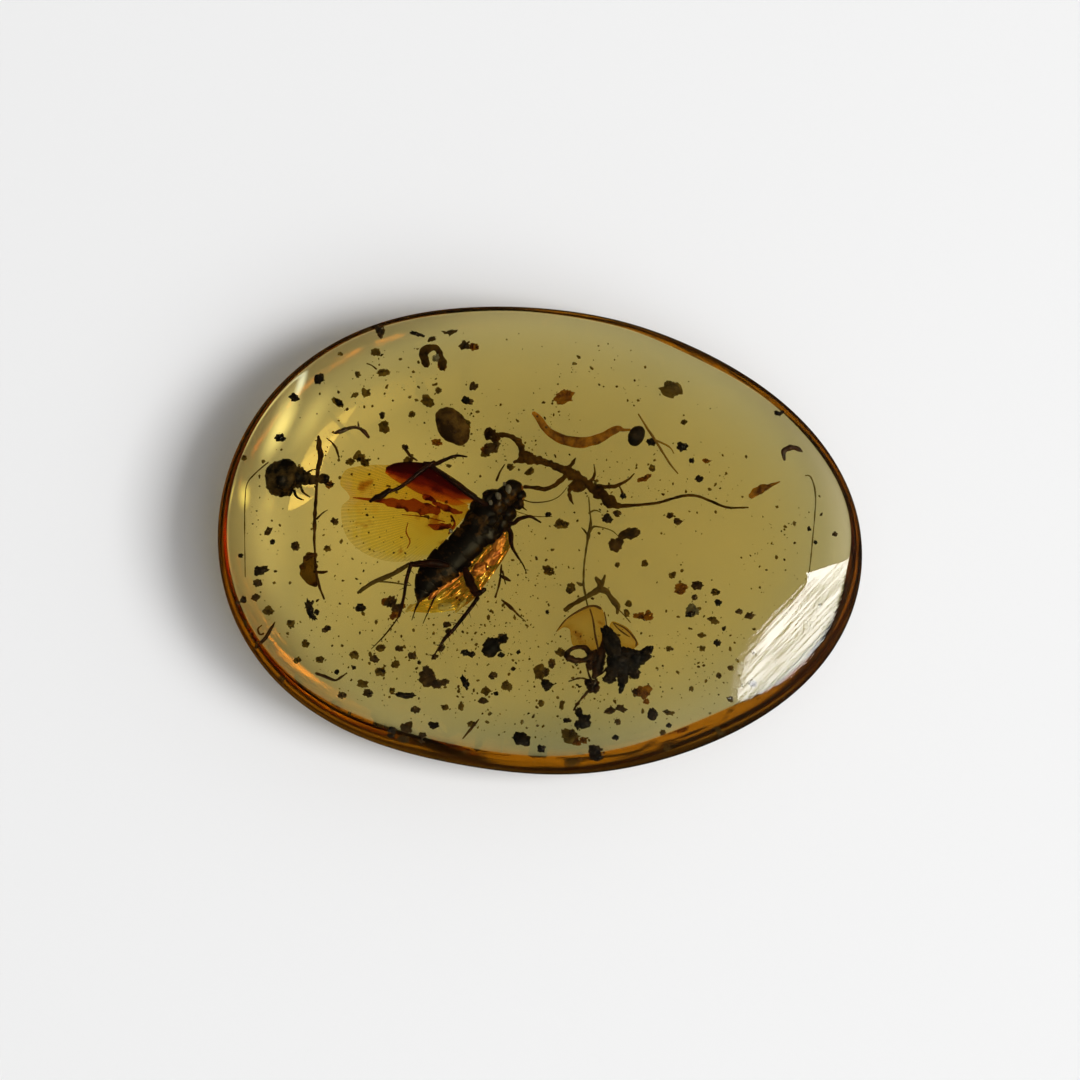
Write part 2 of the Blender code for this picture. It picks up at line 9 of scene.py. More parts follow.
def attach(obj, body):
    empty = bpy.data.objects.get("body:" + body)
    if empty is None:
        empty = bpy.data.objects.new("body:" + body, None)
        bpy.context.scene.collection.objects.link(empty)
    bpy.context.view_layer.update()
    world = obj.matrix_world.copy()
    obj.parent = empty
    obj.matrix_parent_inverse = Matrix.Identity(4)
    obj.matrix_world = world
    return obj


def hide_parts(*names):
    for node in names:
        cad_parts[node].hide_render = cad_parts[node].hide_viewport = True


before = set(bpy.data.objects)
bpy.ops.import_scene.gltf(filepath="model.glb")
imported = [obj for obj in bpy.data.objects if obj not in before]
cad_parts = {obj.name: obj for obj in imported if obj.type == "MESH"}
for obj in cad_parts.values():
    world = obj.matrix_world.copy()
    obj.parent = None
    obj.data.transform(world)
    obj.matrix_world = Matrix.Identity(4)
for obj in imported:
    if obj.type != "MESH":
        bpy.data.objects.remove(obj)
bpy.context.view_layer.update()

# Floor, light and camera.
# The stone lies on a plain white table. Soft light from the near right puts the shadow on the far left.
# A glow painted on the table under the stone stands for the light that the resin gathers there.
# A window mirrors in its polished flat.
MM = 0.001
FLOOR_HALF = 0.45
FLOOR_DROP = 0.02 * MM
scene = bpy.context.scene
scene.view_settings.view_transform = "Standard"

floor_mesh = bpy.data.meshes.new("floor")
floor_corners = [(x * FLOOR_HALF, y * FLOOR_HALF, 0) for x, y in ((-1, -1), (1, -1), (1, 1), (-1, 1))]
floor_mesh.from_pydata(floor_corners, [], [(0, 1, 2, 3)])
floor = bpy.data.objects.new("floor", floor_mesh)
floor.location.z = -FLOOR_DROP
scene.collection.objects.link(floor)


def fill(tree, node, inputs):
    """Sets these inputs of a node. One that is another node's output is linked instead."""
    for name, value in inputs.items():
        if isinstance(value, bpy.types.NodeSocket):
            tree.links.new(value, node.inputs[name])
        else:
            node.inputs[name].default_value = value


def new_finish(name, inputs):
    """A new material with these inputs of its shader filled, and that shader."""
    made = bpy.data.materials.new(name)
    made.use_nodes = True
    shader = made.node_tree.nodes["Principled BSDF"]
    fill(made.node_tree, shader, inputs)
    return made, shader


floor_paint, floor_shader = new_finish("white_table_painted_glow", {
    "Base Color": (0.84, 0.84, 0.84, 1), "Roughness": 0.9, "Specular IOR Level": 0.1,
    "Emission Strength": 1.0})
floor_mesh.materials.append(floor_paint)
floor.visible_glossy = False

# Glow painted on the table under the stone, standing for light that the resin gathers there: middle and half
# sizes in millimetres, turn in degrees, softness, and the light that it adds. The fourth patch is painted
# shade, which takes light away, and the last five are painted streaks of light near the far left rim.
PAINTED_TABLE_GLOW = (
    ((0.2, 0.0), (15.2, 11.3), -9, 0.12, (0.21, 0.235, 0.185)),
    ((-7.4, 1.6), (8.0, 8.2), 0, 0.9, (0.19, 0.168, 0.078)),
    ((-13.3, 0.3), (1.5, 4.6), 4, 1.0, (0.16, 0.13, 0.05)),
    ((0.0, -9.6), (10.0, 2.6), 0, 1.0, (-0.1, -0.08, -0.04)),
    ((-11.3, 7.5), (1.2, 0.15), 58, 1.0, (0.8, 0.95, 1.1)),
    ((-12.4, 5.6), (2.5, 0.46), 62, 1.0, (0.95, 0.9, 0.48)),
    ((-11.1, 6.0), (2.2, 0.6), 58, 1.0, (0.26, 0.24, 0.12)),
    ((-14.0, 2.3), (0.9, 0.24), 85, 1.0, (0.8, 0.7, 0.2)),
    ((-13.1, 2.0), (0.8, 0.4), 80, 1.0, (0.15, 0.12, 0.04)),
)


def wired(tree, kind, inputs=None, **settings):
    """A new shader node of this kind, with its settings made and its inputs filled."""
    node = tree.nodes.new("ShaderNode" + kind)
    for name, value in settings.items():
        setattr(node, name, value)
    fill(tree, node, inputs or {})
    return node


def painted_table_glow(tree):
    """The painted glow of all the patches, as one colour output."""
    place = wired(tree, "TexCoord").outputs["Object"]
    total = (0, 0, 0)
    for (x, y), (long_half, wide_half), turn, softness, colour in PAINTED_TABLE_GLOW:
        patch = wired(tree, "Mapping", vector_type="TEXTURE", inputs={
            "Vector": place, "Location": (x * MM, y * MM, 0), "Rotation": (0, 0, math.radians(turn)),
            "Scale": (long_half * MM, wide_half * MM, 1)})
        inward = wired(tree, "TexGradient", {"Vector": patch.outputs[0]}, gradient_type="SPHERICAL")
        share = wired(tree, "MapRange", interpolation_type="SMOOTHSTEP", inputs={
            "Value": inward.outputs["Fac"], "From Max": softness})
        light = wired(tree, "VectorMath", operation="MULTIPLY_ADD", inputs={
            0: share.outputs["Result"], 1: colour, 2: total})
        total = light.outputs["Vector"]
    return total


# The table's emission is the painted glow under the stone.
fill(floor_paint.node_tree, floor_shader, {"Emission Color": painted_table_glow(floor_paint.node_tree)})

world = bpy.data.worlds.new("soft_room")
scene.world = world
world.use_nodes = True
sky = world.node_tree


def sky_light(direction, low, high, least, most):
    """Light that rises smoothly from least to most as a direction turns towards this one."""
    side = wired(sky, "VectorMath", operation="DOT_PRODUCT", inputs={
        0: sky_coords.outputs["Generated"], 1: direction})
    rise = wired(sky, "MapRange", interpolation_type="SMOOTHSTEP", inputs={
        "Value": side.outputs["Value"], "From Min": low, "From Max": high, "To Min": least, "To Max": most})
    return rise.outputs["Result"]


def computed(tree, operation, first, second):
    """What this operation on two values gives."""
    return wired(tree, "Math", {0: first, 1: second}, operation=operation).outputs[0]


# The room as mirrored in the stone is dimmed to this share, so that mostly the window shows in it.
MIRRORED_ROOM = 0.05
sky_coords = wired(sky, "TexCoord")
room = sky_light((0.6, -0.25, 0.35), -0.25, 0.7, 0.04, 0.54)
right_wall = sky_light((0.95, -0.15, 0.27), 0.82, 0.97, 0.0, 0.3)
back_wall = sky_light((0.15, 0.95, 0.27), 0.6, 0.95, 0.0, 0.12)
soft_lamp = sky_light((0.48, -0.45, 0.75), 0.87, 0.985, 0.0, 2.3)
sky_path = wired(sky, "LightPath")
mirrored = computed(sky, "MULTIPLY", sky_path.outputs["Is Glossy Ray"], sky_path.outputs["Is Reflection Ray"])
sky_mirror = wired(sky, "MapRange", {"Value": mirrored, "To Min": 1.0, "To Max": MIRRORED_ROOM})
room_and_lamp = computed(sky, "ADD", room, soft_lamp)
walls = computed(sky, "ADD", right_wall, back_wall)
whole_room = computed(sky, "ADD", room_and_lamp, walls)
sky_total = computed(sky, "MULTIPLY", whole_room, sky_mirror.outputs["Result"])
fill(sky, sky.nodes["Background"], {"Color": (1, 1, 1, 1), "Strength": sky_total})

KEY_PLACE = Vector((0.5, -0.13, 0.62))
KEY_SIZE = 0.31
KEY_RADIANCE = 14.1
key_data = bpy.data.lights.new("key", "AREA")
key_data.shape = "RECTANGLE"
key_data.size = KEY_SIZE
key_data.size_y = KEY_SIZE
key_data.energy = KEY_RADIANCE * KEY_SIZE * KEY_SIZE * math.pi
key = bpy.data.objects.new("key", key_data)
key.location = KEY_PLACE
key.rotation_euler = (-KEY_PLACE).to_track_quat("-Z", "Y").to_euler()
scene.collection.objects.link(key)
key.visible_transmission = False
key.visible_glossy = False


def let_through(made, tint, solid):
    """Lets light through a finish: the share solid of it stays, and the rest is clear with this tint."""
    tree = made.node_tree
    clear = wired(tree, "BsdfTransparent", {"Color": tint})
    surface = tree.nodes["Principled BSDF"].outputs[0]
    blend = wired(tree, "MixShader", {0: solid, 1: clear.outputs[0], 2: surface})
    fill(tree, tree.nodes["Material Output"], {"Surface": blend.outputs[0]})


# The window is a flat pane over the table, dimmer towards the viewer. Each corner is given as its distance
# from the polished flat for each metre of height. Light that has bounced off the table goes through the pane.
WINDOW_HEIGHT = 0.4
WINDOW_OVER_X = 0.0132
WINDOW_OVER_Y = -0.003
WINDOW_RADIANCE = 17.5
WINDOW_DIM_FROM = -0.166
WINDOW_DIM_TO = -0.148
WINDOW_DIM_SHARE = 0.6
WINDOW_CORNERS = ((0.41, 0.05), (0.53, -0.17), (0.53, -0.36), (0.7, -0.8), (1.3, -0.8), (1.3, 0.05))
pane_mesh = bpy.data.meshes.new("window")
pane_points = []
for x, y in WINDOW_CORNERS:
    place = (x * WINDOW_HEIGHT + WINDOW_OVER_X, y * WINDOW_HEIGHT + WINDOW_OVER_Y, WINDOW_HEIGHT)
    pane_points.append(place)
pane_mesh.from_pydata(pane_points, [], [range(len(pane_points))])
window = bpy.data.objects.new("window", pane_mesh)
scene.collection.objects.link(window)
pane_glow, pane_shader = new_finish("window_glow", {
    "Base Color": (0, 0, 0, 1), "Specular IOR Level": 0.0, "Emission Color": (1, 1, 1, 1)})
pane_tree = pane_glow.node_tree
pane_place = wired(pane_tree, "SeparateXYZ", {0: wired(pane_tree, "TexCoord").outputs["Object"]})
pane_light = wired(pane_tree, "MapRange", {
    "Value": pane_place.outputs["Y"], "From Min": WINDOW_DIM_FROM, "From Max": WINDOW_DIM_TO,
    "To Min": WINDOW_RADIANCE * WINDOW_DIM_SHARE, "To Max": WINDOW_RADIANCE})
fill(pane_tree, pane_shader, {"Emission Strength": pane_light.outputs["Result"]})
unbounced = computed(pane_tree, "LESS_THAN", wired(pane_tree, "LightPath").outputs["Diffuse Depth"], 0.5)
let_through(pane_glow, (1, 1, 1, 1), unbounced)
pane_mesh.materials.append(pane_glow)
window.visible_camera = False
window.visible_diffuse = False
window.visible_volume_scatter = False
window.visible_shadow = False

CAMERA_DISTANCE = 0.3
CAMERA_ELEVATION = math.radians(80)
CAMERA_TARGET = Vector((0, 0, 2.6 * MM))
camera_data = bpy.data.cameras.new("camera")
camera_data.lens = 200
camera_data.sensor_width = 36
camera_data.clip_start = 0.01
camera = bpy.data.objects.new("camera", camera_data)
lean = Vector((0, -math.cos(CAMERA_ELEVATION), math.sin(CAMERA_ELEVATION)))
camera.location = CAMERA_TARGET + lean * CAMERA_DISTANCE
camera.rotation_euler = (-lean).to_track_quat("-Z", "Y").to_euler()
scene.collection.objects.link(camera)
scene.camera = camera

# The stone.
# One piece of clear honey-coloured fossil resin, cut flat beneath and domed on top, with a crisp shoulder
# round its face and a small flat polished onto the near right corner. It takes the blue out of the light.
GIRDLE_RADII = (16.05, 13.95, 12.05, 11.7, 13.1, 15.25, 16.1, 14.85, 12.5, 11.8, 12.7, 14.95)
SHOULDER_INSETS = (
    0.62, 0.7, 0.78, 0.87, 0.76, 0.66, 0.6, 0.6, 0.62, 0.6, 0.6, 0.6,
    0.55, 0.47, 0.42, 0.4, 0.48, 0.45, 0.43, 0.58, 0.85, 1.02, 0.98, 1.02,
)
WALL_POWER = 2.5
GIRDLE_HEIGHT = 2.6
SHOULDER_HEIGHT = 5.0
STONE_HEIGHT = 6.4
TIGHT_RADIUS = 1.1
TURN_SLOPE = math.radians(36)
DOME_POWER = 2.4
STONE_SIDES = 288
FLAT_POINT = Vector((13.3, -3.3, 5.227))
FLAT_TILT = math.radians(21.5)
FLAT_HEADING = math.radians(-39.5)
FLAT_SOFTNESS = 0.035
BEND_WALL = 0.98
BEND_FACE = 0.988


def around(values, angle):
    """The smooth closed curve through values that are spaced evenly round a turn."""
    count = len(values)
    total = 0.0
    for k, value in enumerate(values):
        gap = (angle - k * math.tau / count + math.pi) % math.tau - math.pi
        if abs(gap) < 1e-9:
            return value
        total += value * math.sin(count * gap / 2) / (count * math.tan(gap / 2))
    return total


def stone_profile():
    """The stone's side as (kind, number): how far along its under-curve, wall or face each ring lies."""
    rings = [("foot", share) for share in (0.25, 0.5, 0.75, 0.9, 0.97)]
    rings += [("under", TURN_SLOPE * k / 16) for k in range(16)]
    rings += [("under", TURN_SLOPE + (math.pi / 2 - TURN_SLOPE) * k / 10) for k in range(10)]
    rings += [("wall", k / 22) for k in range(22)]
    rings += [("wall", 0.975), ("bend", 0.12), ("bend", 0.3), ("bend", 0.5), ("bend", 0.7), ("bend", 0.88)]
    rings += [("face", 0.986 - 0.976 * (k / 64) ** 1.15) for k in range(65)]
    return rings


def stone_point(kind, number, reach, inset):
    """(radius, height) of one point of the side, in millimetres."""
    turn_inset = TIGHT_RADIUS * (1 - math.sin(TURN_SLOPE))
    gentle = (GIRDLE_HEIGHT - TIGHT_RADIUS * math.cos(TURN_SLOPE)) / (1 - math.cos(TURN_SLOPE))
    if kind == "foot":
        return (reach - turn_inset - gentle * math.sin(TURN_SLOPE)) * number, 0.0
    if kind == "under" and number > TURN_SLOPE:
        return reach - TIGHT_RADIUS * (1 - math.sin(number)), GIRDLE_HEIGHT - TIGHT_RADIUS * math.cos(number)
    if kind == "under":
        inset = turn_inset + gentle * (math.sin(TURN_SLOPE) - math.sin(number))
        return reach - inset, gentle * (1 - math.cos(number))
    if kind == "wall":
        climb = (SHOULDER_HEIGHT - GIRDLE_HEIGHT) * number
        return reach - inset * number**WALL_POWER, GIRDLE_HEIGHT + climb
    if kind == "face":
        rise = (STONE_HEIGHT - SHOULDER_HEIGHT) * (1 - number**DOME_POWER)
        return (reach - inset) * number, SHOULDER_HEIGHT + rise
    below = Vector(stone_point("wall", BEND_WALL, reach, inset))
    above = Vector(stone_point("face", BEND_FACE, reach, inset))
    corner = Vector((reach - inset, SHOULDER_HEIGHT + 0.01))
    bent = below * (1 - number) ** 2 + corner * 2 * number * (1 - number) + above * number**2
    return bent.x, bent.y


def flat_facing():
    """The direction that the polished flat faces."""
    aside = math.sin(FLAT_TILT)
    return Vector((math.cos(FLAT_HEADING) * aside, math.sin(FLAT_HEADING) * aside, math.cos(FLAT_TILT)))


def flattened(point):
    """A point of the stone, moved onto the polished flat if it lies beyond it."""
    facing = flat_facing()
    beyond = (point - FLAT_POINT).dot(facing)
    if beyond < -8 * FLAT_SOFTNESS:
        return point
    if beyond > 20 * FLAT_SOFTNESS:
        return point - facing * beyond
    kept = -FLAT_SOFTNESS * math.log1p(math.exp(-beyond / FLAT_SOFTNESS))
    return point + facing * (kept - beyond)


def build_stone():
    """(points, faces) of the stone, ring by ring from the middle of its foot to the top of its face."""
    points = [Vector((0, 0, 0))]
    profile = stone_profile()
    for kind, number in profile:
        for k in range(STONE_SIDES):
            angle = k * math.tau / STONE_SIDES
            reach = around(GIRDLE_RADII, angle)
            inset = around(SHOULDER_INSETS, angle)
            radius, height = stone_point(kind, number, reach, inset)
            place = Vector((radius * math.cos(angle), radius * math.sin(angle), height))
            points.append(flattened(place) if height > GIRDLE_HEIGHT else place)
    points.append(Vector((0, 0, STONE_HEIGHT)))
    faces = []
    top = len(points) - 1
    for k in range(STONE_SIDES):
        after = (k + 1) % STONE_SIDES
        faces.append((0, 1 + after, 1 + k))
        for number in range(len(profile) - 1):
            low = 1 + number * STONE_SIDES
            high = low + STONE_SIDES
            faces.append((low + k, low + after, high + after, high + k))
        last = 1 + (len(profile) - 1) * STONE_SIDES
        faces.append((last + k, last + after, top))
    return points, faces


def add_piece(name, points, faces, material, slot, nodes=(), smooth=True):
    """A mesh of points in millimetres, as a piece of the specimen."""
    mesh = bpy.data.meshes.new(name)
    mesh.from_pydata([p * MM for p in points], [], faces)
    if smooth:
        mesh.shade_smooth()
    mesh.materials.append(material)
    made = bpy.data.objects.new(name, mesh)
    scene.collection.objects.link(made)
    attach(made, "root")
    if nodes:
        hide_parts(*nodes)
    return made


SCRATCH_HEADING = math.radians(47)
SCRATCH_LONG = 3.0
SCRATCH_WIDE = 0.1
SCRATCH_DEPTH = 0.0105
WALL_ROUGHNESS = 0.2
FACE_ROUGHNESS = 0.015
RESIN_TINT = (0.854, 0.6875, 0.021, 1)
RESIN_DENSITY = 240


def amber_material():
    """Clear resin, less polished on its wall than on its face, with fine scratches on the polished flat."""
    made, shader = new_finish("honey_resin", {
        "Base Color": (1, 1, 1, 1), "IOR": 1.54, "Transmission Weight": 1.0})
    tree = made.node_tree
    facing = wired(tree, "SeparateXYZ", {0: wired(tree, "NewGeometry").outputs["True Normal"]})
    polish = wired(tree, "MapRange", {
        "Value": computed(tree, "ABSOLUTE", facing.outputs["Z"], 0.0), "From Min": 0.6, "From Max": 0.9,
        "To Min": WALL_ROUGHNESS, "To Max": FACE_ROUGHNESS})
    place = wired(tree, "TexCoord").outputs["Object"]
    lined_up = wired(tree, "Mapping", vector_type="TEXTURE", inputs={
        "Vector": place, "Rotation": (0, 0, SCRATCH_HEADING),
        "Scale": (SCRATCH_LONG * MM, SCRATCH_WIDE * MM, 1)})
    scratch = wired(tree, "TexNoise", {"Vector": lined_up.outputs[0], "Scale": 1.0, "Detail": 3})
    cut = wired(tree, "MapRange", {"Value": scratch.outputs["Fac"], "From Min": 0.5, "From Max": 0.66})
    height = wired(tree, "VectorMath", {0: place, 1: flat_facing()}, operation="DOT_PRODUCT")
    flat_level = FLAT_POINT.dot(flat_facing()) * MM
    on_flat = wired(tree, "MapRange", {
        "Value": height.outputs["Value"],
        "From Min": flat_level - 0.09 * MM, "From Max": flat_level - 0.02 * MM})
    groove = computed(tree, "MULTIPLY", cut.outputs["Result"], on_flat.outputs["Result"])
    relief = wired(tree, "Bump", {"Strength": 1.0, "Distance": SCRATCH_DEPTH * MM, "Height": groove})
    fill(tree, shader, {"Roughness": polish.outputs["Result"], "Normal": relief.outputs["Normal"]})
    depth = wired(tree, "VolumeAbsorption", {"Color": RESIN_TINT, "Density": RESIN_DENSITY})
    fill(tree, tree.nodes["Material Output"], {"Volume": depth.outputs["Volume"]})
    return made


stone_points, stone_faces = build_stone()
halves = ("amber_lower", "amber_upper")
add_piece("amber_stone", stone_points, stone_faces, amber_material(), "amber", halves)

# The cockroach.
# The large insect: a flat dark body seen from below, one forewing and one hind wing spread to the left, the
# others crumpled along its right side, and long spiny legs. It is sealed in the resin, head to upper right.

# The width and height of one pixel of the photograph in millimetres, and how far up a thing seems to move for
# each millimetre that it lies higher than the height that doesn't shift.
PIXEL_WIDE = 0.05
PIXEL_TALL = 0.0508
CLIMB = 0.113
SHIFTLESS_HEIGHT = 0.6
ROACH_HEIGHT = 4.0


def level(height, *rows):
    """Rows of (px, py, radius) that lie at one height, as rows of px, py, height, radius."""
    return tuple((px, py, height, radius) for px, py, radius in rows)


def spot(px, py, height):
    """The point in millimetres, at this height in the resin, that shows at a pixel of the photograph."""
    x = (px - 540) * PIXEL_WIDE
    y = (540 - py) * PIXEL_TALL - CLIMB * (height - SHIFTLESS_HEIGHT)
    return Vector((x, y, height))


def smoothed(rows, steps):
    """More rows of numbers between the given ones, on a smooth curve through them."""
    result = []
    for k in range(len(rows) - 1):
        a, b, c, d = (rows[min(max(k + j, 0), len(rows) - 1)] for j in (-1, 0, 1, 2))
        for step in range(steps):
            t = step / steps
            row = []
            for p, q, r, s in zip(a, b, c, d):
                slope = (2 * p - 5 * q + 4 * r - s) * t * t + (3 * q - p - 3 * r + s) * t**3
                row.append(0.5 * (2 * q + (r - p) * t + slope))
            result.append(row)
    result.append(list(rows[-1]))
    return result


def rings_to_shape(rings, start, end):
    """(points, faces) of the closed skin through rings, drawn to a point at each end."""
    sides = len(rings[0])
    points = [p for ring in rings for p in ring] + [start, end]
    faces = []
    for number in range(len(rings) - 1):
        low = number * sides
        for k in range(sides):
            after = (k + 1) % sides
            faces.append((low + k, low + after, low + sides + after, low + sides + k))
    last = len(points) - 2 - sides
    for k in range(sides):
        after = (k + 1) % sides
        faces.append((len(points) - 2, after, k))
        faces.append((len(points) - 1, last + k, last + after))
    return points, faces


TIP = 0.6
THINNEST = 0.008


def tube(path, sides=8, flat=1.0, rough=0.0, seed=0, grain=0.5):
    """A closed tube. path holds (point, radius); rough is how much its skin swells, at a grain in mm."""
    rings = []
    middle = [point for point, _ in path]
    for k, (here, radius) in enumerate(path):
        ahead = (middle[min(k + 1, len(path) - 1)] - middle[max(k - 1, 0)]).normalized()
        across = ahead.cross(Vector((0, 0, 1)))
        across = across.normalized() if across.length > 1e-6 else Vector((1, 0, 0))
        up = across.cross(ahead)
        ring = []
        for side in range(sides):
            turn = side * math.tau / sides
            out = across * math.cos(turn) + up * math.sin(turn) * flat
            swell = 1 + rough * noise.noise((here + out * radius) / grain + Vector((seed * 3.7, 0, seed)))
            ring.append(here + out * radius * swell)
        rings.append(ring)
    start = middle[0] - (middle[1] - middle[0]).normalized() * path[0][1] * TIP
    end = middle[-1] + (middle[-1] - middle[-2]).normalized() * (path[-1][1] * TIP)
    return rings_to_shape(rings, start, end)


def strand(rows, steps=4, sides=8, flat=1.0, rough=0.0, seed=0, grain=0.5):
    """A tube through rows of (px, py, height, radius)."""
    path = [(spot(px, py, z), max(r, THINNEST)) for px, py, z, r in smoothed(rows, steps)]
    return tube(path, sides, flat, rough, seed, grain)


def strands(table, steps, sides, flat, rough, seed, grain):
    """One tube for each set of rows in a table, each with the next seed."""
    return [strand(rows, steps, sides, flat, rough, seed + k, grain) for k, rows in enumerate(table)]


BALLS = {}


def lump(centre, size, turn=0.0, rough=0.3, seed=0, cuts=3, grain=1.2):
    """A closed irregular lump. size is its half length, half width and half height; turn is in degrees."""
    if cuts not in BALLS:
        ball = bmesh.new()
        bmesh.ops.create_icosphere(ball, subdivisions=cuts, radius=1.0)
        corners = [v.co.copy() for v in ball.verts]
        BALLS[cuts] = (corners, [tuple(v.index for v in face.verts) for face in ball.faces])
        ball.free()
    corners, faces = BALLS[cuts]
    aim = Matrix.Rotation(math.radians(turn), 3, "Z")
    shift = Vector((seed * 7.31, seed * 1.93, seed * 0.37))
    points = []
    for corner in corners:
        coarse, fine = noise.noise(corner * grain + shift), noise.noise(corner * grain * 2.7 - shift)
        swell = 1 + rough * (coarse + 0.5 * fine)
        points.append(centre + aim @ Vector([corner[k] * size[k] * swell for k in range(3)]))
    return points, faces


def lumps(table, height, thick, rough, seed, grain):
    """One lump for each row (px, py, half length, half width, turn) of a table, each with the next seed."""
    shapes = []
    for number, (px, py, long, wide, turn) in enumerate(table):
        shapes.append(lump(spot(px, py, height), (long, wide, thick), turn, rough, seed + number, 4, grain))
    return shapes


def gather(shapes):
    """Several shapes as one (points, faces)."""
    points, faces = [], []
    for some_points, some_faces in shapes:
        start = len(points)
        points += some_points
        faces += [tuple(start + k for k in face) for face in some_faces]
    return points, faces


def ramp(tree, value, stops, curve="EASE"):
    """The colour that a value has on a scale of (position, colour) stops."""
    made = wired(tree, "ValToRGB", {"Fac": value})
    scale = made.color_ramp
    scale.interpolation = curve
    while len(scale.elements) < len(stops):
        scale.elements.new(0.5)
    for element, (position, colour) in zip(scale.elements, stops):
        element.position = position
        element.color = (*colour, 1)
    return made.outputs["Color"]


def mottled(name, dark, light, scale=900, roughness=0.6, bump=0.4, middle=0.5, contrast=0.18, specular=0.5):
    """A dull natural surface: a dark and a light colour mixed by fine noise, which is also its relief."""
    made, shader = new_finish(name, {"Roughness": roughness, "Specular IOR Level": specular})
    tree = made.node_tree
    noisy = wired(tree, "TexNoise", {
        "Vector": wired(tree, "TexCoord").outputs["Object"], "Scale": scale, "Detail": 6, "Roughness": 0.65})
    grain = noisy.outputs["Fac"]
    colour = ramp(tree, grain, ((middle - contrast, dark), (middle + contrast, light)), "LINEAR")
    relief = wired(tree, "Bump", {"Strength": bump, "Distance": 0.04 * MM, "Height": grain})
    fill(tree, shader, {"Base Color": colour, "Normal": relief.outputs["Normal"]})
    return made


shell_dark = mottled(
    "roach_shell", (0.003, 0.001, 0.0005), (0.15, 0.075, 0.018), 1100, 0.3, 0.9, 0.61, 0.07, 0.15)
leg_dark = mottled("roach_leg", (0.006, 0.0015, 0.001), (0.045, 0.01, 0.003), 1500, 0.4, 0.3, 0.5, 0.18, 0.1)

# The abdomen, by stations from the waist to the tail: px, py, half width, half height.
ABDOMEN = (
    (492, 512, 0.7, 0.4), (484, 524, 0.86, 0.46), (474, 536, 0.9, 0.47), (464, 547, 0.9, 0.46),
    (454, 557, 0.92, 0.44), (444, 566, 0.92, 0.42), (435, 574, 0.84, 0.38), (428, 583, 0.66, 0.32),
    (424, 591, 0.42, 0.24), (421, 600, 0.12, 0.1),
)
ABDOMEN_RINGS = 8
ABDOMEN_SIDES = 32
RING_TAPER = 0.1
RING_GROOVE = 0.05


def abdomen():
    """The abdomen's skin. Each ring of it narrows towards its end, and has a groove there."""
    rings = []
    rows = smoothed(ABDOMEN, 12)
    path = [spot(px, py, ROACH_HEIGHT) for px, py, _, _ in rows]
    for k, here in enumerate(path):
        ahead = (path[min(k + 1, len(path) - 1)] - path[max(k - 1, 0)]).normalized()
        across = ahead.cross(Vector((0, 0, 1)))
        share = k / (len(path) - 1)
        step = (share * ABDOMEN_RINGS) % 1
        plate = 1 - RING_TAPER * step**1.5 - (RING_GROOVE if step > 0.9 else 0)
        ring = []
        for side in range(ABDOMEN_SIDES):
            turn = side * math.tau / ABDOMEN_SIDES
            out = across * math.cos(turn) * rows[k][2] + Vector((0, 0, math.sin(turn) * rows[k][3]))
            wave = 1 + 0.05 * noise.noise((here + out) * 2.2)
            ring.append(here + out * plate * wave)
        rings.append(ring)
    return rings_to_shape(rings, path[0] + (path[0] - path[2]), path[-1])


# The head and chest, as lumps: px, py, height, half length, half width, half height, turn.
CHEST = (
    (512, 491, 4.05, 0.56, 0.5, 0.4, 40), (520, 496, 4.0, 0.3, 0.28, 0.26, 0),
    (519, 505, 3.95, 0.3, 0.26, 0.22, 60), (505, 499, 4.05, 0.62, 0.6, 0.45, 45),
    (497, 505, 4.02, 0.66, 0.82, 0.48, 45), (488, 516, 4.0, 0.8, 0.95, 0.5, 45),
    (482, 526, 4.0, 0.8, 1.0, 0.48, 45), (508, 515, 4.0, 0.5, 0.42, 0.4, 55),
    (503, 525, 3.95, 0.48, 0.38, 0.36, 50), (495, 535, 3.9, 0.5, 0.36, 0.32, 45),
    (489, 500, 4.15, 0.42, 0.26, 0.32, 48), (480, 508, 4.12, 0.4, 0.26, 0.3, 48),
    (473, 518, 4.1, 0.4, 0.26, 0.28, 48), (500, 510, 4.3, 0.42, 0.3, 0.24, 30),
    (492, 521, 4.3, 0.42, 0.3, 0.24, 30), (484, 532, 4.25, 0.42, 0.3, 0.22, 30),
)
chest_shapes = [abdomen()]
for number, (px, py, z, long, wide, tall, turn) in enumerate(CHEST):
    chest_shapes.append(lump(spot(px, py, z), (long, wide, tall), turn, 0.16, number + 1, 4))
body = add_piece("cockroach_body", *gather(chest_shapes), shell_dark, "insect_brown", ("cockroach",))

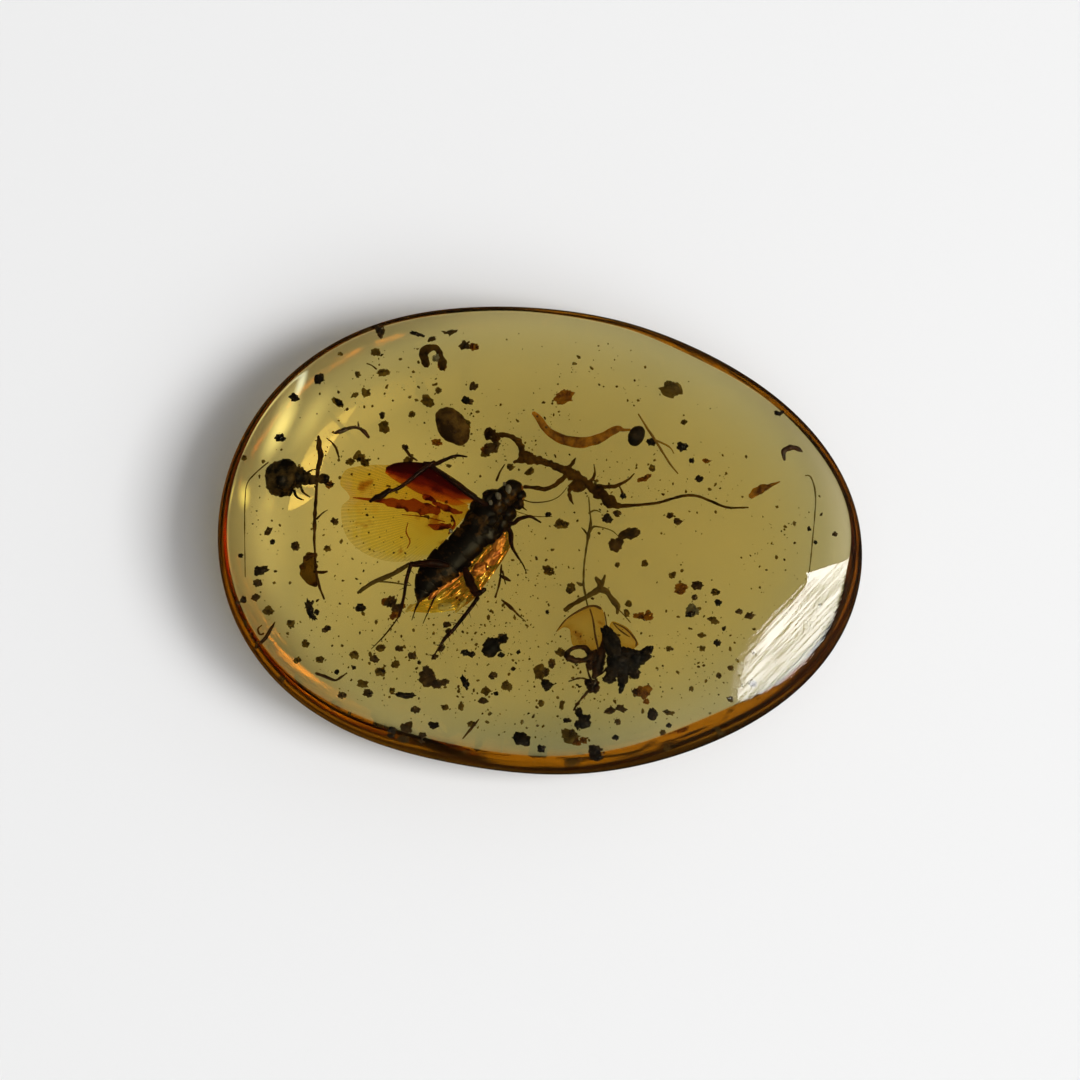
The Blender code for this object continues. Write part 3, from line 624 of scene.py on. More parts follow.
# The legs, feelers and tail spines: rows of px, py, height, radius. A thick row before the knee is the thigh.
LEGS = {
    "front_left": ((488, 506, 4.3, 0.15), (470, 495, 4.5, 0.13), (450, 480, 4.65, 0.12),
        (430, 465, 4.7, 0.11)),
    "front_left_shin": ((425, 464, 4.7, 0.09), (436, 465, 4.72, 0.12), (446, 461, 4.74, 0.09),
        (457, 457, 4.76, 0.07), (468, 458, 4.76, 0.04)),
    "crossing": ((436, 463, 4.75, 0.1), (425, 470, 4.8, 0.13), (413, 480, 4.86, 0.12), (400, 489, 4.9, 0.09),
        (388, 493, 4.9, 0.1)),
    "crossing_foot": ((392, 490, 4.9, 0.13), (384, 496, 4.9, 0.16), (378, 498, 4.88, 0.13),
        (372, 502, 4.86, 0.07)),
    "right_one": ((503, 523, 4.0, 0.14), (513, 524, 4.1, 0.12), (520, 519, 4.2, 0.1), (530, 517, 4.25, 0.08),
        (536, 520, 4.25, 0.06), (541, 523, 4.25, 0.04)),
    "right_two": ((506, 525, 4.0, 0.15), (511, 533, 4.05, 0.13), (512, 545, 4.1, 0.1), (517, 555, 4.1, 0.06),
        (523, 564, 4.1, 0.04), (527, 573, 4.1, 0.02)),
    "hind_thigh": ((466, 568, 4.4, 0.16), (469, 576, 4.45, 0.22), (473, 585, 4.5, 0.23),
        (478, 594, 4.55, 0.17)),
    "hind_knee": ((474, 592, 4.55, 0.14), (480, 592, 4.58, 0.16), (486, 588, 4.6, 0.11)),
    "hind_shin": ((479, 596, 4.55, 0.1), (472, 606, 4.5, 0.1), (464, 616, 4.48, 0.1), (455, 627, 4.45, 0.09),
        (447, 635, 4.42, 0.09), (441, 644, 4.4, 0.06), (434, 655, 4.4, 0.03)),
    "left_thigh": ((450, 565, 4.5, 0.13), (438, 563, 4.55, 0.2), (426, 563, 4.6, 0.19),
        (414, 564, 4.6, 0.12)),
    "left_shin": ((414, 562, 4.6, 0.12), (411, 570, 4.58, 0.1), (408, 582, 4.55, 0.09),
        (406, 595, 4.55, 0.08), (403, 608, 4.5, 0.08), (401, 615, 4.5, 0.06)),
    "left_foot": ((402, 613, 4.5, 0.05), (395, 623, 4.5, 0.04), (386, 634, 4.45, 0.035),
        (374, 646, 4.4, 0.02)),
    "tail_left": ((421, 599, 4.0, 0.07), (418, 606, 4.0, 0.05), (414, 618, 3.95, 0.02)),
    "tail_right": level(3.9, (438, 592, 0.07), (433, 603, 0.05), (425, 621, 0.02)),
    "feeler": ((520, 499, 4.0, 0.035), (532, 503, 4.1, 0.03), (548, 502, 4.15, 0.025), (559, 497, 4.15, 0.02),
        (567, 488, 4.15, 0.015)),
    "mouth": level(4.0, (519, 503, 0.08), (523, 508, 0.05), (527, 511, 0.02)),
}
# The spines of a shin: leg, how many, length in millimetres.
SPINY = (("hind_shin", 15, 0.42), ("left_shin", 9, 0.36), ("front_left_shin", 7, 0.26), ("right_two", 6, 0.2),
         ("crossing", 6, 0.22), ("left_foot", 7, 0.2), ("left_thigh", 4, 0.22))
draw = random.Random(11)
leg_shapes = []
for rows in LEGS.values():
    leg_shapes.append(strand(rows, 6, 10, 0.85, 0.25, 3, 0.25))
for leg, count, length in SPINY:
    rows = smoothed(LEGS[leg], 6)
    for number in range(count):
        place = (number + 0.6) / count * (len(rows) - 2)
        here, after = rows[int(place)], rows[int(place) + 1]
        base, ahead = spot(*here[:3]), (spot(*after[:3]) - spot(*here[:3])).normalized()
        side = Vector((-ahead.y, ahead.x, draw.uniform(-0.4, 0.5))) * (1 if number % 2 else -1)
        tip = base + (ahead * 0.55 + side.normalized()).normalized() * length * draw.uniform(0.6, 1.1)
        leg_shapes.append(tube([(base, 0.028), (base.lerp(tip, 0.5), 0.018), (tip, 0.007)], 5))
add_piece("cockroach_legs", *gather(leg_shapes), leg_dark, "insect_brown", ("cockroach",))

# One limb lies deeper, blurred olive by the resin over it.
deep_olive = mottled("deep_stem", (0.1, 0.08, 0.03), (0.26, 0.2, 0.08), 900, 0.9, 0.3)
deep_limb = ((412, 563, 3.3, 0.1), (402, 569, 3.2, 0.11), (390, 575, 3.1, 0.12), (378, 580, 3.0, 0.11),
             (368, 586, 3.0, 0.1), (361, 591, 3.0, 0.07))
deep_spur = ((380, 580, 3.1, 0.04), (394, 581, 3.1, 0.04), (412, 584, 3.2, 0.03))
deep_shapes = [strand(deep_limb, 5, 8, 1, 0.3, 2, 0.3), strand(deep_spur, 4, 6)]
add_piece("cockroach_deep_limb", *gather(deep_shapes), deep_olive, "insect_brown", ("cockroach",))

# Small pale grey lumps on the chest, a painted highlight standing for glints on the cuticle, and the orange
# mouth parts.
GLINTS = ((509, 490, 4.42, 0.16, 0.22), (499, 497, 4.46, 0.15, 0.2), (492, 504, 4.42, 0.12, 0.16),
          (452, 531, 4.3, 0.1, 0.12), (505, 485, 4.35, 0.08, 0.12), (486, 511, 4.38, 0.08, 0.12))
chest_glint_grey = mottled("painted_glint_grey", (0.1, 0.11, 0.13), (0.42, 0.44, 0.5), 2500, 0.3, 0.2)
chest_glint_shapes = []
for number, (px, py, z, wide, long) in enumerate(GLINTS):
    chest_glint_shapes.append(lump(spot(px, py, z), (wide, long, 0.06), 20, 0.35, number + 30, 3))
add_piece("cockroach_painted_glints", *gather(chest_glint_shapes), chest_glint_grey, "insect_brown", ("cockroach",))
mouth_orange = mottled("mouth_orange", (0.3, 0.09, 0.01), (0.75, 0.35, 0.05), 2500, 0.35, 0.2)
mouth_shapes = [lump(spot(521.5, 489, 4.15), (0.1, 0.14, 0.08), 15, 0.3, 41, 3)]
mouth_shapes.append(lump(spot(523, 499, 4.1), (0.1, 0.07, 0.06), 15, 0.3, 42, 3))
add_piece("cockroach_mouth", *gather(mouth_shapes), mouth_orange, "insect_brown", ("cockroach",))


def add_sheet(name, rows, material, slot, nodes_replaced):
    """An open thin sheet on a grid of points, with its two directions as a UV map."""
    across = len(rows[0])
    faces = []
    for i in range(len(rows) - 1):
        for j in range(across - 1):
            a = i * across + j
            faces.append((a, a + 1, a + 1 + across, a + across))
    points = [p for row in rows for p in row]
    made = add_piece(name, points, faces, material, slot, nodes_replaced)
    layer = made.data.uv_layers.new(name="wing")
    for loop in made.data.loops:
        i, j = divmod(loop.vertex_index, across)
        layer.data[loop.index].uv = (i / (len(rows) - 1), j / (across - 1))
    return made


WARP = 0.3
BLOTCH_EDGE = 0.12


def wing_material(name, across_stops, along_stops, blotch, gloss, solid, colour, veins=0.0, vein_count=30):
    """A thin tinted wing. The tint runs across and along it, blotches darken it, and veins run along it."""
    made, _ = new_finish(name, {"Base Color": (*colour, 1), "Roughness": gloss, "Specular IOR Level": 0.2})
    tree = made.node_tree
    coords = wired(tree, "TexCoord")
    split = wired(tree, "SeparateXYZ", {0: coords.outputs["UV"]})
    warp = wired(tree, "TexNoise", {"Vector": coords.outputs["Object"], "Scale": 1500, "Detail": 5})
    tints = []
    for axis, stops in (("X", along_stops), ("Y", across_stops)):
        pushed = wired(tree, "Math", operation="MULTIPLY_ADD", inputs={
            0: warp.outputs["Fac"], 1: WARP, 2: split.outputs[axis]})
        tints.append(ramp(tree, computed(tree, "SUBTRACT", pushed.outputs[0], WARP / 2), stops))
    blotch_colour, blotch_scale, blotch_start = blotch
    spots = wired(tree, "TexNoise", {"Vector": coords.outputs["Object"], "Scale": blotch_scale, "Detail": 4})
    blotch_stops = ((blotch_start, (1, 1, 1)), (blotch_start + BLOTCH_EDGE, blotch_colour))
    tints.append(ramp(tree, spots.outputs["Fac"], blotch_stops))
    if veins:
        spread = computed(tree, "MULTIPLY", split.outputs["X"], vein_count)
        lines = computed(tree, "PINGPONG", spread, 0.5)
        tints.append(ramp(tree, lines, ((0.1, (1, 1, 1)), (0.3, (1 - veins, 1 - veins, 1 - veins)))))
    total = tints[0]
    for tint in tints[1:]:
        both = wired(tree, "Mix", {"Factor": 1.0, 6: total, 7: tint}, data_type="RGBA", blend_type="MULTIPLY")
        total = both.outputs[2]
    let_through(made, total, solid)
    return made


# The spread forewing: its front and rear edges from the hinge to the tip, in pixels.
FOREWING_FRONT = (
    (478, 496), (468, 489), (462, 484), (450, 476), (437, 468), (425, 464), (410, 463), (397, 464),
    (388, 468),
)
FOREWING_REAR = (
    (476, 503), (466, 505), (455, 506), (442, 502), (430, 498), (418, 493), (408, 487), (398, 482),
    (387, 474),
)


def strip_rows(front, rear, heights, bulge, columns=14, steps=6, crumple=0.0, seed=0):
    """Points between two edges in pixels, bulging up by bulge in the middle."""
    rows = []
    front, rear = smoothed(front, steps), smoothed(rear, steps)
    for k, (ahead, behind) in enumerate(zip(front, rear)):
        height = heights[0] + (heights[1] - heights[0]) * k / (len(front) - 1)
        start, end = spot(*ahead, height), spot(*behind, height)
        row = []
        for column in range(columns):
            share = column / (columns - 1)
            place = start.lerp(end, share)
            lift = 4 * bulge * share * (1 - share)
            lift += crumple * noise.noise(place * 2.4 + Vector((seed, 0, 0)))
            row.append(place + Vector((0, 0, lift)))
        rows.append(row)
    return rows


forewing_look = wing_material(
    "forewing_red",
    ((0.0, (0.03, 0.001, 0.0)), (0.4, (0.08, 0.002, 0.0)), (0.66, (0.4, 0.06, 0.006)),
     (0.84, (1.0, 0.5, 0.08)), (1.0, (1.0, 0.75, 0.22))),
    ((0.0, (1.0, 0.9, 0.7)), (0.25, (1.0, 0.8, 0.6)), (0.6, (0.6, 0.25, 0.2)), (0.85, (0.65, 0.35, 0.3)),
     (1.0, (1, 0.7, 0.5))),
    ((0.5, 0.2, 0.1), 1100, 0.6), 0.3, 0.12, (0.12, 0.006, 0.002))
forewing_rows = strip_rows(FOREWING_FRONT, FOREWING_REAR, (4.3, 4.6), 0.12)
add_sheet("cockroach_forewing", forewing_rows, forewing_look, "insect_brown", ("cockroach",))

# The hind wing: a pleated fan from its hinge to its margin.
HINDWING_HINGE = (474, 508)
HINDWING_MARGIN = (
    (392, 466), (372, 466), (352, 469), (345, 475), (343, 485), (350, 493), (352, 499), (345, 506),
    (344, 516), (346, 527), (350, 537), (358, 546), (368, 553), (380, 558), (394, 561), (408, 561),
    (420, 560), (430, 556), (438, 550),
)
PLEATS = 26
PLEAT_DEPTH = 0.02


def fan_rows(hinge, margin, heights, pleats, depth, columns=26):
    """Points of a pleated fan, from near its hinge to its margin."""
    rows = []
    edge = smoothed(margin, 12)
    for k, (px, py) in enumerate(edge):
        share = k / (len(edge) - 1)
        height = heights[0] + (heights[1] - heights[0]) * share
        start, end = spot(*hinge, heights[0]), spot(px, py, height)
        fold = math.cos(share * pleats * math.tau) * depth
        row = []
        for column in range(columns):
            reach = 0.04 + 0.96 * column / (columns - 1)
            place = start.lerp(end, reach)
            bend = 0.12 * noise.noise(place * 0.9) * reach + 0.02 * noise.noise(place * 4)
            row.append(place + Vector((0, 0, fold * reach + bend)))
        rows.append(row)
    return rows


hindwing_look = wing_material(
    "hindwing_yellow",
    ((0.0, (0.9, 0.58, 0.08)), (0.3, (0.97, 0.76, 0.14)), (0.6, (1.0, 0.88, 0.24)), (0.85, (1.0, 0.92, 0.36)),
     (1.0, (1.0, 0.97, 0.75))),
    ((0.0, (1, 0.85, 0.5)), (0.18, (1, 0.88, 0.55)), (0.3, (0.97, 0.8, 0.6)), (0.45, (1, 0.97, 0.9)),
     (1.0, (1, 1, 1))),
    ((0.6, 0.32, 0.1), 700, 0.6), 0.35, 0.1, (0.5, 0.32, 0.03), 0.12, 52)
hindwing_rows = fan_rows(HINDWING_HINGE, HINDWING_MARGIN, (4.1, 3.8), PLEATS, PLEAT_DEPTH)
add_sheet("cockroach_hindwing", hindwing_rows, hindwing_look, "insect_brown", ("cockroach",))

# Red-brown folds of the hind wing's root, crossing it towards the lower left.
ROOT_FOLDS = (
    ((356, 498, 3.98, 0.04), (380, 501, 4.02, 0.1), (400, 504, 4.06, 0.26), (420, 508, 4.08, 0.3),
     (440, 512, 4.1, 0.2)),
    level(4.2, (425, 497, 0.12), (431, 499, 0.13), (437, 502, 0.06)),
    ((434, 503, 4.2, 0.06), (444, 507, 4.22, 0.16), (454, 512, 4.22, 0.13), (463, 513, 4.22, 0.08)),
    level(4.1, (430, 525, 0.05), (440, 527, 0.17), (452, 526, 0.12)),
    ((452, 516, 4.15, 0.05), (456, 524, 4.15, 0.07), (450, 534, 4.1, 0.04)),
    level(4.0, (410, 523, 0.02), (408, 532, 0.03), (412, 541, 0.03), (409, 548, 0.02)),
    ((404, 515, 4.0, 0.02), (424, 517, 4.05, 0.03), (446, 522, 4.1, 0.03)),
)
EVEN = ((0.0, (1, 1, 1)), (1.0, (1, 1, 1)))
fold_red = wing_material(
    "wing_root_red", ((0.0, (0.74, 0.38, 0.1)), (1.0, (0.88, 0.58, 0.2))), EVEN,
    ((0.4, 0.18, 0.08), 1300, 0.5), 0.5, 0.13, (0.14, 0.03, 0.006))
fold_shapes = strands(ROOT_FOLDS, 6, 8, 0.35, 0.7, 0, 0.25)
add_piece("cockroach_wing_root", *gather(fold_shapes), fold_red, "insect_brown", ("cockroach",))

# The folded wings: a crumpled film with a golden gleam along the body's right side.
FOLDED_OUTER = (
    (510, 529), (512, 537), (510, 548), (503, 560), (494, 573), (484, 586), (474, 598), (462, 606),
    (446, 610), (428, 611), (411, 609),
)
FOLDED_INNER = (
    (500, 533), (494, 538), (486, 544), (477, 552), (468, 561), (459, 570), (449, 579), (440, 587),
    (431, 593), (422, 599), (411, 605),
)
FOLD_LIFT = 0.07


def folded_film():
    """Crumpled film: metallic orange near the head, and clearer and more golden towards the tail."""
    made, shader = new_finish("folded_wing_gold", {"Metallic": 0.85, "Roughness": 0.22})
    tree = made.node_tree
    place = wired(tree, "TexCoord").outputs["UV"]
    streaks = wired(tree, "Mapping", {"Vector": place, "Scale": (9, 5, 1), "Rotation": (0, 0, 0.3)})
    noisy = wired(tree, "TexNoise", {
        "Vector": streaks.outputs[0], "Scale": 1.0, "Detail": 5, "Distortion": 0.6})
    grain = noisy.outputs["Fac"]
    head_stops = ((0.38, (0.05, 0.012, 0.002)), (0.48, (0.5, 0.13, 0.015)), (0.54, (1.0, 0.4, 0.06)),
                  (0.62, (1.0, 0.82, 0.25)))
    tail_stops = ((0.36, (0.12, 0.03, 0.003)), (0.46, (0.8, 0.42, 0.03)), (0.6, (1.0, 0.88, 0.2)))
    split = wired(tree, "SeparateXYZ", {0: place})
    towards_tail = wired(tree, "MapRange", interpolation_type="SMOOTHSTEP", inputs={
        "Value": split.outputs["X"], "From Min": 0.62, "From Max": 0.82}).outputs["Result"]
    colour = wired(tree, "Mix", data_type="RGBA", inputs={
        "Factor": towards_tail, 6: ramp(tree, grain, head_stops), 7: ramp(tree, grain, tail_stops)})
    fill(tree, shader, {"Base Color": colour.outputs[2]})
    solid = wired(tree, "MapRange", {"Value": towards_tail, "To Min": 0.75, "To Max": 0.4})
    let_through(made, (0.97, 0.78, 0.14, 1), solid.outputs["Result"])
    return made


folded_rows = strip_rows(FOLDED_OUTER, FOLDED_INNER, (3.85, 3.75), 0.1, 26, 8, 0.16, 5)
for i, row in enumerate(folded_rows):
    for j, place in enumerate(row):
        ripple = math.sin(j * 1.15 + 0.8 * math.sin(i * 0.21))
        place.z += FOLD_LIFT * ripple * (0.4 + 0.6 * i / len(folded_rows))
add_sheet("cockroach_folded_wing", folded_rows, folded_film(), "insect_brown", ("cockroach",))

# The brightest creases of the folded wings, as lumps with a painted highlight in their colour: px, py, half
# length and half width in millimetres, turn.
GOLD_CREASE_GLINTS = ((413, 606, 0.26, 0.12, 35), (447, 605, 0.36, 0.18, 12), (462, 604, 0.36, 0.1, 50))
ORANGE_CREASE_GLINTS = (
    (473, 554, 0.75, 0.2, 42), (452, 580, 0.8, 0.15, 40), (438, 590, 0.5, 0.14, 45), (494, 556, 0.5, 0.3, 48),
    (500, 543, 0.4, 0.22, 60), (481, 568, 0.4, 0.26, 35),
)
# The gold creases' brightness is all painted highlight; the orange ones are half metallic, partly reflecting
# the lights and partly painted highlight.
for name, table, colours, metal in (
    ("cockroach_gold_crease_glints", GOLD_CREASE_GLINTS, ((1.0, 0.72, 0.1), (1.0, 0.97, 0.4)), 0.0),
    ("cockroach_orange_crease_glints", ORANGE_CREASE_GLINTS, ((0.35, 0.07, 0.01), (1.0, 0.42, 0.07)), 0.5),
):
    crease_glint_look = mottled(name, *colours, 1600, 0.3, 1.0)
    crease_glint_look.node_tree.nodes["Principled BSDF"].inputs["Metallic"].default_value = metal
    crease_glint_shapes = lumps(table, 4.05, 0.07, 0.5, 60, 1.4)
    add_piece(name, *gather(crease_glint_shapes), crease_glint_look, "insect_brown", ("cockroach",))

# The small fly.
# Its two orange wings stand up from a dark curled body with thin legs. It is sealed in the resin, a little to
# the right of the stone's middle.
FLY_HEIGHT = 3.9
FLY_LEFT_FRONT = (
    (600, 648), (603, 634), (604, 620), (601, 607), (595, 604), (584, 607), (572, 612), (563, 619),
    (556, 629),
)
FLY_LEFT_REAR = (
    (594, 649), (590, 648), (585, 646), (578, 645), (572, 642), (570, 634), (569, 627), (563, 625),
    (557, 629),
)
FLY_RIGHT_FRONT = ((606, 634), (608, 624), (611, 619), (618, 621), (627, 626), (634, 635), (637, 641))
FLY_RIGHT_REAR = ((607, 637), (611, 634), (614, 637), (619, 642), (625, 646), (631, 646), (636, 642))
FLY_VEINS = (
    ((556, 629, 3.95, 0.02), (566, 617, 3.97, 0.04), (580, 608, 3.98, 0.05), (592, 604, 3.98, 0.06),
     (600, 607, 3.98, 0.05)),
    ((589, 607, 4.0, 0.03), (592, 618, 4.02, 0.05), (594, 632, 4.02, 0.05), (597, 646, 3.98, 0.04)),
    ((603, 610, 3.95, 0.03), (605, 622, 3.97, 0.03), (602, 636, 3.97, 0.03)),
    ((611, 620, 3.95, 0.02), (624, 626, 3.98, 0.04), (634, 637, 3.98, 0.05), (634, 643, 3.95, 0.03)),
    ((612, 621, 3.98, 0.02), (619, 628, 4.0, 0.05), (628, 634, 4.0, 0.02)),
    level(3.6, (616, 606, 0.02), (622, 612, 0.03), (629, 620, 0.02)),
)
fly_wing_look = wing_material(
    "fly_wing_orange",
    ((0.0, (0.88, 0.62, 0.2)), (0.5, (0.96, 0.78, 0.36)), (1.0, (0.84, 0.6, 0.2))),
    ((0.0, (0.85, 0.75, 0.6)), (0.4, (1, 1, 1)), (1.0, (0.95, 0.85, 0.7))),
    ((0.7, 0.5, 0.3), 1300, 0.55), 0.35, 0.12, (0.3, 0.14, 0.02))
FLY_WINGS = (("left", FLY_LEFT_FRONT, FLY_LEFT_REAR), ("right", FLY_RIGHT_FRONT, FLY_RIGHT_REAR))
for side, front, rear in FLY_WINGS:
    fly_rows = strip_rows(front, rear, (FLY_HEIGHT, FLY_HEIGHT), 0.1, 14, 6, 0.05, 8)
    add_sheet(f"fly_{side}_wing", fly_rows, fly_wing_look, "fly_brown", ("small_fly",))
vein_brown = mottled("wing_vein", (0.06, 0.025, 0.004), (0.22, 0.1, 0.015), 1500, 0.5, 0.2)
vein_shapes = strands(FLY_VEINS, 6, 6, 0.6, 0.4, 0, 0.3)
add_piece("fly_wing_veins", *gather(vein_shapes), vein_brown, "fly_brown", ("small_fly",))

FLY_CURL = level(3.95, (589, 650, 0.16), (584, 645, 0.14), (577, 644, 0.1), (570, 647, 0.11),
    (566, 652, 0.15), (570, 656, 0.17), (577, 657, 0.13), (584, 656, 0.13), (590, 653, 0.16))
FLY_LIMBS = (
    level(3.9, (603, 628, 0.1), (603, 640, 0.16), (600, 650, 0.25), (597, 660, 0.3), (595, 668, 0.2),
        (592, 674, 0.08)),
    level(3.9, (588, 681, 0.1), (585, 675, 0.07), (578, 674, 0.05), (568, 677, 0.035)),
    level(3.9, (590, 684, 0.08), (584, 690, 0.07), (578, 697, 0.05), (573, 705, 0.06)),
    level(3.9, (586, 661, 0.05), (587, 668, 0.05), (590, 676, 0.06)),
    level(3.9, (605, 664, 0.06), (601, 669, 0.05), (595, 672, 0.04)),
)
FLY_LUMPS = (
    (592, 653, 0.34, 0.26, 60), (598, 655, 0.3, 0.26, 20), (589, 661, 0.26, 0.2, 80),
    (597, 665, 0.3, 0.2, 50), (592, 681, 0.34, 0.24, 50), (588, 678, 0.22, 0.18, 0),
    (595, 684, 0.22, 0.14, 70),
)
fly_shapes = [strand(FLY_CURL, 6, 10, 0.8, 0.5, 2, 0.2)]
for rows in FLY_LIMBS:
    fly_shapes.append(strand(rows, 6, 8, 0.9, 0.5, 5, 0.2))
fly_shapes += lumps(FLY_LUMPS, FLY_HEIGHT, 0.2, 0.4, 50, 1.6)
fly_body_look = mottled(
    "fly_body", (0.012, 0.004, 0.001), (0.12, 0.045, 0.012), 1300, 0.45, 0.5, 0.54, 0.12, 0.25)
add_piece("fly_body", *gather(fly_shapes), fly_body_look, "fly_brown", ("small_fly",))

# The beetle.
# A small black oval beetle near the left end, its head against a stalk, with thin legs folded under it.
BEETLE_HEIGHT = 4.0
BEETLE_LUMPS = (
    (286, 478, 0.84, 0.86, -12), (278, 474, 0.5, 0.5, 0), (298, 477, 0.5, 0.55, 0), (306, 478, 0.42, 0.34, 0),
    (315, 480, 0.3, 0.26, 0), (326, 479, 0.3, 0.24, 0), (288, 490, 0.42, 0.3, 20),
)
BEETLE_LEGS = (
    level(4.0, (303, 484, 0.08), (306, 492, 0.06), (313, 497, 0.03)),
    level(4.0, (297, 490, 0.08), (300, 497, 0.06), (307, 500, 0.03)),
    level(4.0, (308, 474, 0.06), (316, 470, 0.04), (322, 471, 0.03)),
    level(4.0, (326, 482, 0.06), (332, 486, 0.05), (337, 484, 0.03)),
)
litter_black = mottled(
    "litter_black", (0.002, 0.0015, 0.001), (0.04, 0.023, 0.007), 1300, 0.6, 0.6, 0.56, 0.12, 0.25)
beetle_shapes = []
for number, (px, py, long, wide, turn) in enumerate(BEETLE_LUMPS):
    half = (long, wide, min(long, wide) * 0.6)
    beetle_shapes.append(lump(spot(px, py, BEETLE_HEIGHT), half, turn, 0.3, number, 4, 1.6))
for rows in BEETLE_LEGS:
    beetle_shapes.append(strand(rows, 5, 7, 1, 0.3, 1, 0.2))
beetle_shell = mottled(
    "beetle_shell", (0.006, 0.004, 0.001), (0.15, 0.095, 0.03), 1500, 0.4, 0.9, 0.54, 0.1, 0.1)
add_piece("beetle_body", *gather(beetle_shapes), beetle_shell, "litter_black", ("beetle",))

# Twigs and rootlets.
# Weathered bits of twig with knobbly bark, and the thin rootlets that come out of them, sealed in the resin
# deeper than the insects.
bark_olive = mottled("bark_olive", (0.03, 0.015, 0.003), (0.2, 0.11, 0.02), 900, 0.85, 0.8, 0.5, 0.14, 0.1)
TWIG_MAIN = (
    level(3.1, (492, 438, 0.16), (500, 437, 0.12), (508, 438, 0.1), (516, 442, 0.14), (521, 448, 0.15),
        (522, 455, 0.15), (526, 460, 0.24), (536, 462, 0.21), (548, 465, 0.17), (560, 470, 0.2),
        (570, 475, 0.26), (580, 480, 0.2), (590, 488, 0.2), (600, 496, 0.26), (610, 503, 0.26),
        (619, 507, 0.14)),
    level(3.1, (530, 459, 0.18), (522, 461, 0.16), (514, 464, 0.07)),
    ((566, 473, 3.1, 0.16), (571, 466, 3.2, 0.1), (575, 460, 3.3, 0.04)),
    ((588, 485, 3.1, 0.12), (592, 480, 3.2, 0.08), (594, 474, 3.3, 0.04), (593, 466, 3.35, 0.03)),
    level(3.1, (574, 484, 0.1), (569, 492, 0.12), (570, 499, 0.09), (573, 505, 0.03)),
)
TWIG_LUMPS = (
    (491, 437, 0.3, 0.26, 20), (496, 440, 0.24, 0.2, 60), (489, 434, 0.2, 0.18, 0), (488, 449, 0.18, 0.16, 0),
    (495, 451, 0.2, 0.14, 60), (577, 487, 0.4, 0.3, 10), (571, 476, 0.28, 0.24, 30),
    (527, 458, 0.3, 0.24, 10),
)
ROOTLET = ((617, 507, 3.1, 0.11), (635, 506, 3.05, 0.075), (655, 504, 3.0, 0.07), (669, 500, 3.0, 0.065),
           (681, 497, 3.0, 0.075), (694, 497, 3.0, 0.07), (708, 502, 2.95, 0.065), (724, 508, 2.9, 0.06),
           (745, 508, 2.9, 0.04))
LEFT_FORK = ((569, 474, 3.1, 0.13), (562, 480, 3.2, 0.12), (555, 486, 3.3, 0.11), (546, 490, 3.4, 0.11),
             (537, 489, 3.5, 0.1), (524, 488, 3.6, 0.08))
RIGHT_FORKS = (
    ((590, 486, 3.1, 0.1), (600, 488, 3.1, 0.1), (612, 488, 3.2, 0.1), (620, 485, 3.2, 0.08),
     (627, 481, 3.3, 0.07), (633, 475, 3.3, 0.03)),
    level(3.2, (617, 486, 0.05), (620, 491, 0.05), (622, 497, 0.1)),
)
FORKED_ROOTLET = (
    level(2.9, (564, 608, 0.1), (573, 602, 0.11), (582, 597, 0.11), (591, 592, 0.12), (599, 588, 0.16),
        (606, 591, 0.15), (611, 597, 0.15), (616, 603, 0.13), (616, 611, 0.07)),
    level(2.9, (599, 589, 0.16), (599, 583, 0.14), (595, 576, 0.08)),
    level(2.9, (600, 585, 0.12), (602, 580, 0.1), (604, 574, 0.06)),
)
twig_shapes = strands(TWIG_MAIN, 6, 12, 0.9, 0.75, 0, 0.22)
twig_shapes += lumps(TWIG_LUMPS, 3.1, 0.2, 0.45, 70, 1.8)
add_piece("main_twig", *gather(twig_shapes), bark_olive, "bark_olive", ("twig_main",))
add_piece("long_rootlet", *strand(ROOTLET, 8, 8, 1, 0.3, 4, 0.3), bark_olive, "bark_olive", ("twig_rootlet",))
left_shape = strand(LEFT_FORK, 6, 10, 1, 0.5, 6, 0.25)
add_piece("left_twig_fork", *left_shape, bark_olive, "bark_olive", ("twig_left_fork",))
right_shapes = strands(RIGHT_FORKS, 6, 8, 1, 0.5, 0, 0.25)
add_piece("right_twig_fork", *gather(right_shapes), bark_olive, "bark_olive", ("twig_right_fork",))
forked_shapes = strands(FORKED_ROOTLET, 6, 10, 0.8, 0.55, 9, 0.25)
add_piece("forked_root", *gather(forked_shapes), deep_olive, "bark_olive", ("forked_rootlet",))

# Stalks, straws and hairs.
# Thin dry plant bits: a dark stalk with a scale on it by the beetle, a jointed stalk above the fly, a split
# straw, and hairs, some no thicker than a thread.
LEFT_STALK = (
    level(3.2, (321, 437, 0.07), (322, 448, 0.14), (323, 460, 0.14), (321, 472, 0.1), (320, 486, 0.08),
        (319, 505, 0.08), (318, 524, 0.09), (318, 540, 0.07), (319, 556, 0.06), (320, 571, 0.08),
        (323, 584, 0.06), (328, 597, 0.04)),
    level(3.2, (318, 553, 0.06), (312, 556, 0.14), (308, 558, 0.1)),
    level(3.2, (317, 570, 0.06), (325, 571, 0.08), (331, 570, 0.05)),
    level(3.2, (320, 519, 0.05), (326, 513, 0.04), (331, 510, 0.02)),
)
STALK_SCALE = level(3.15, (320, 553, 0.1), (315, 558, 0.34), (313, 566, 0.46), (315, 575, 0.34),
    (320, 584, 0.1))
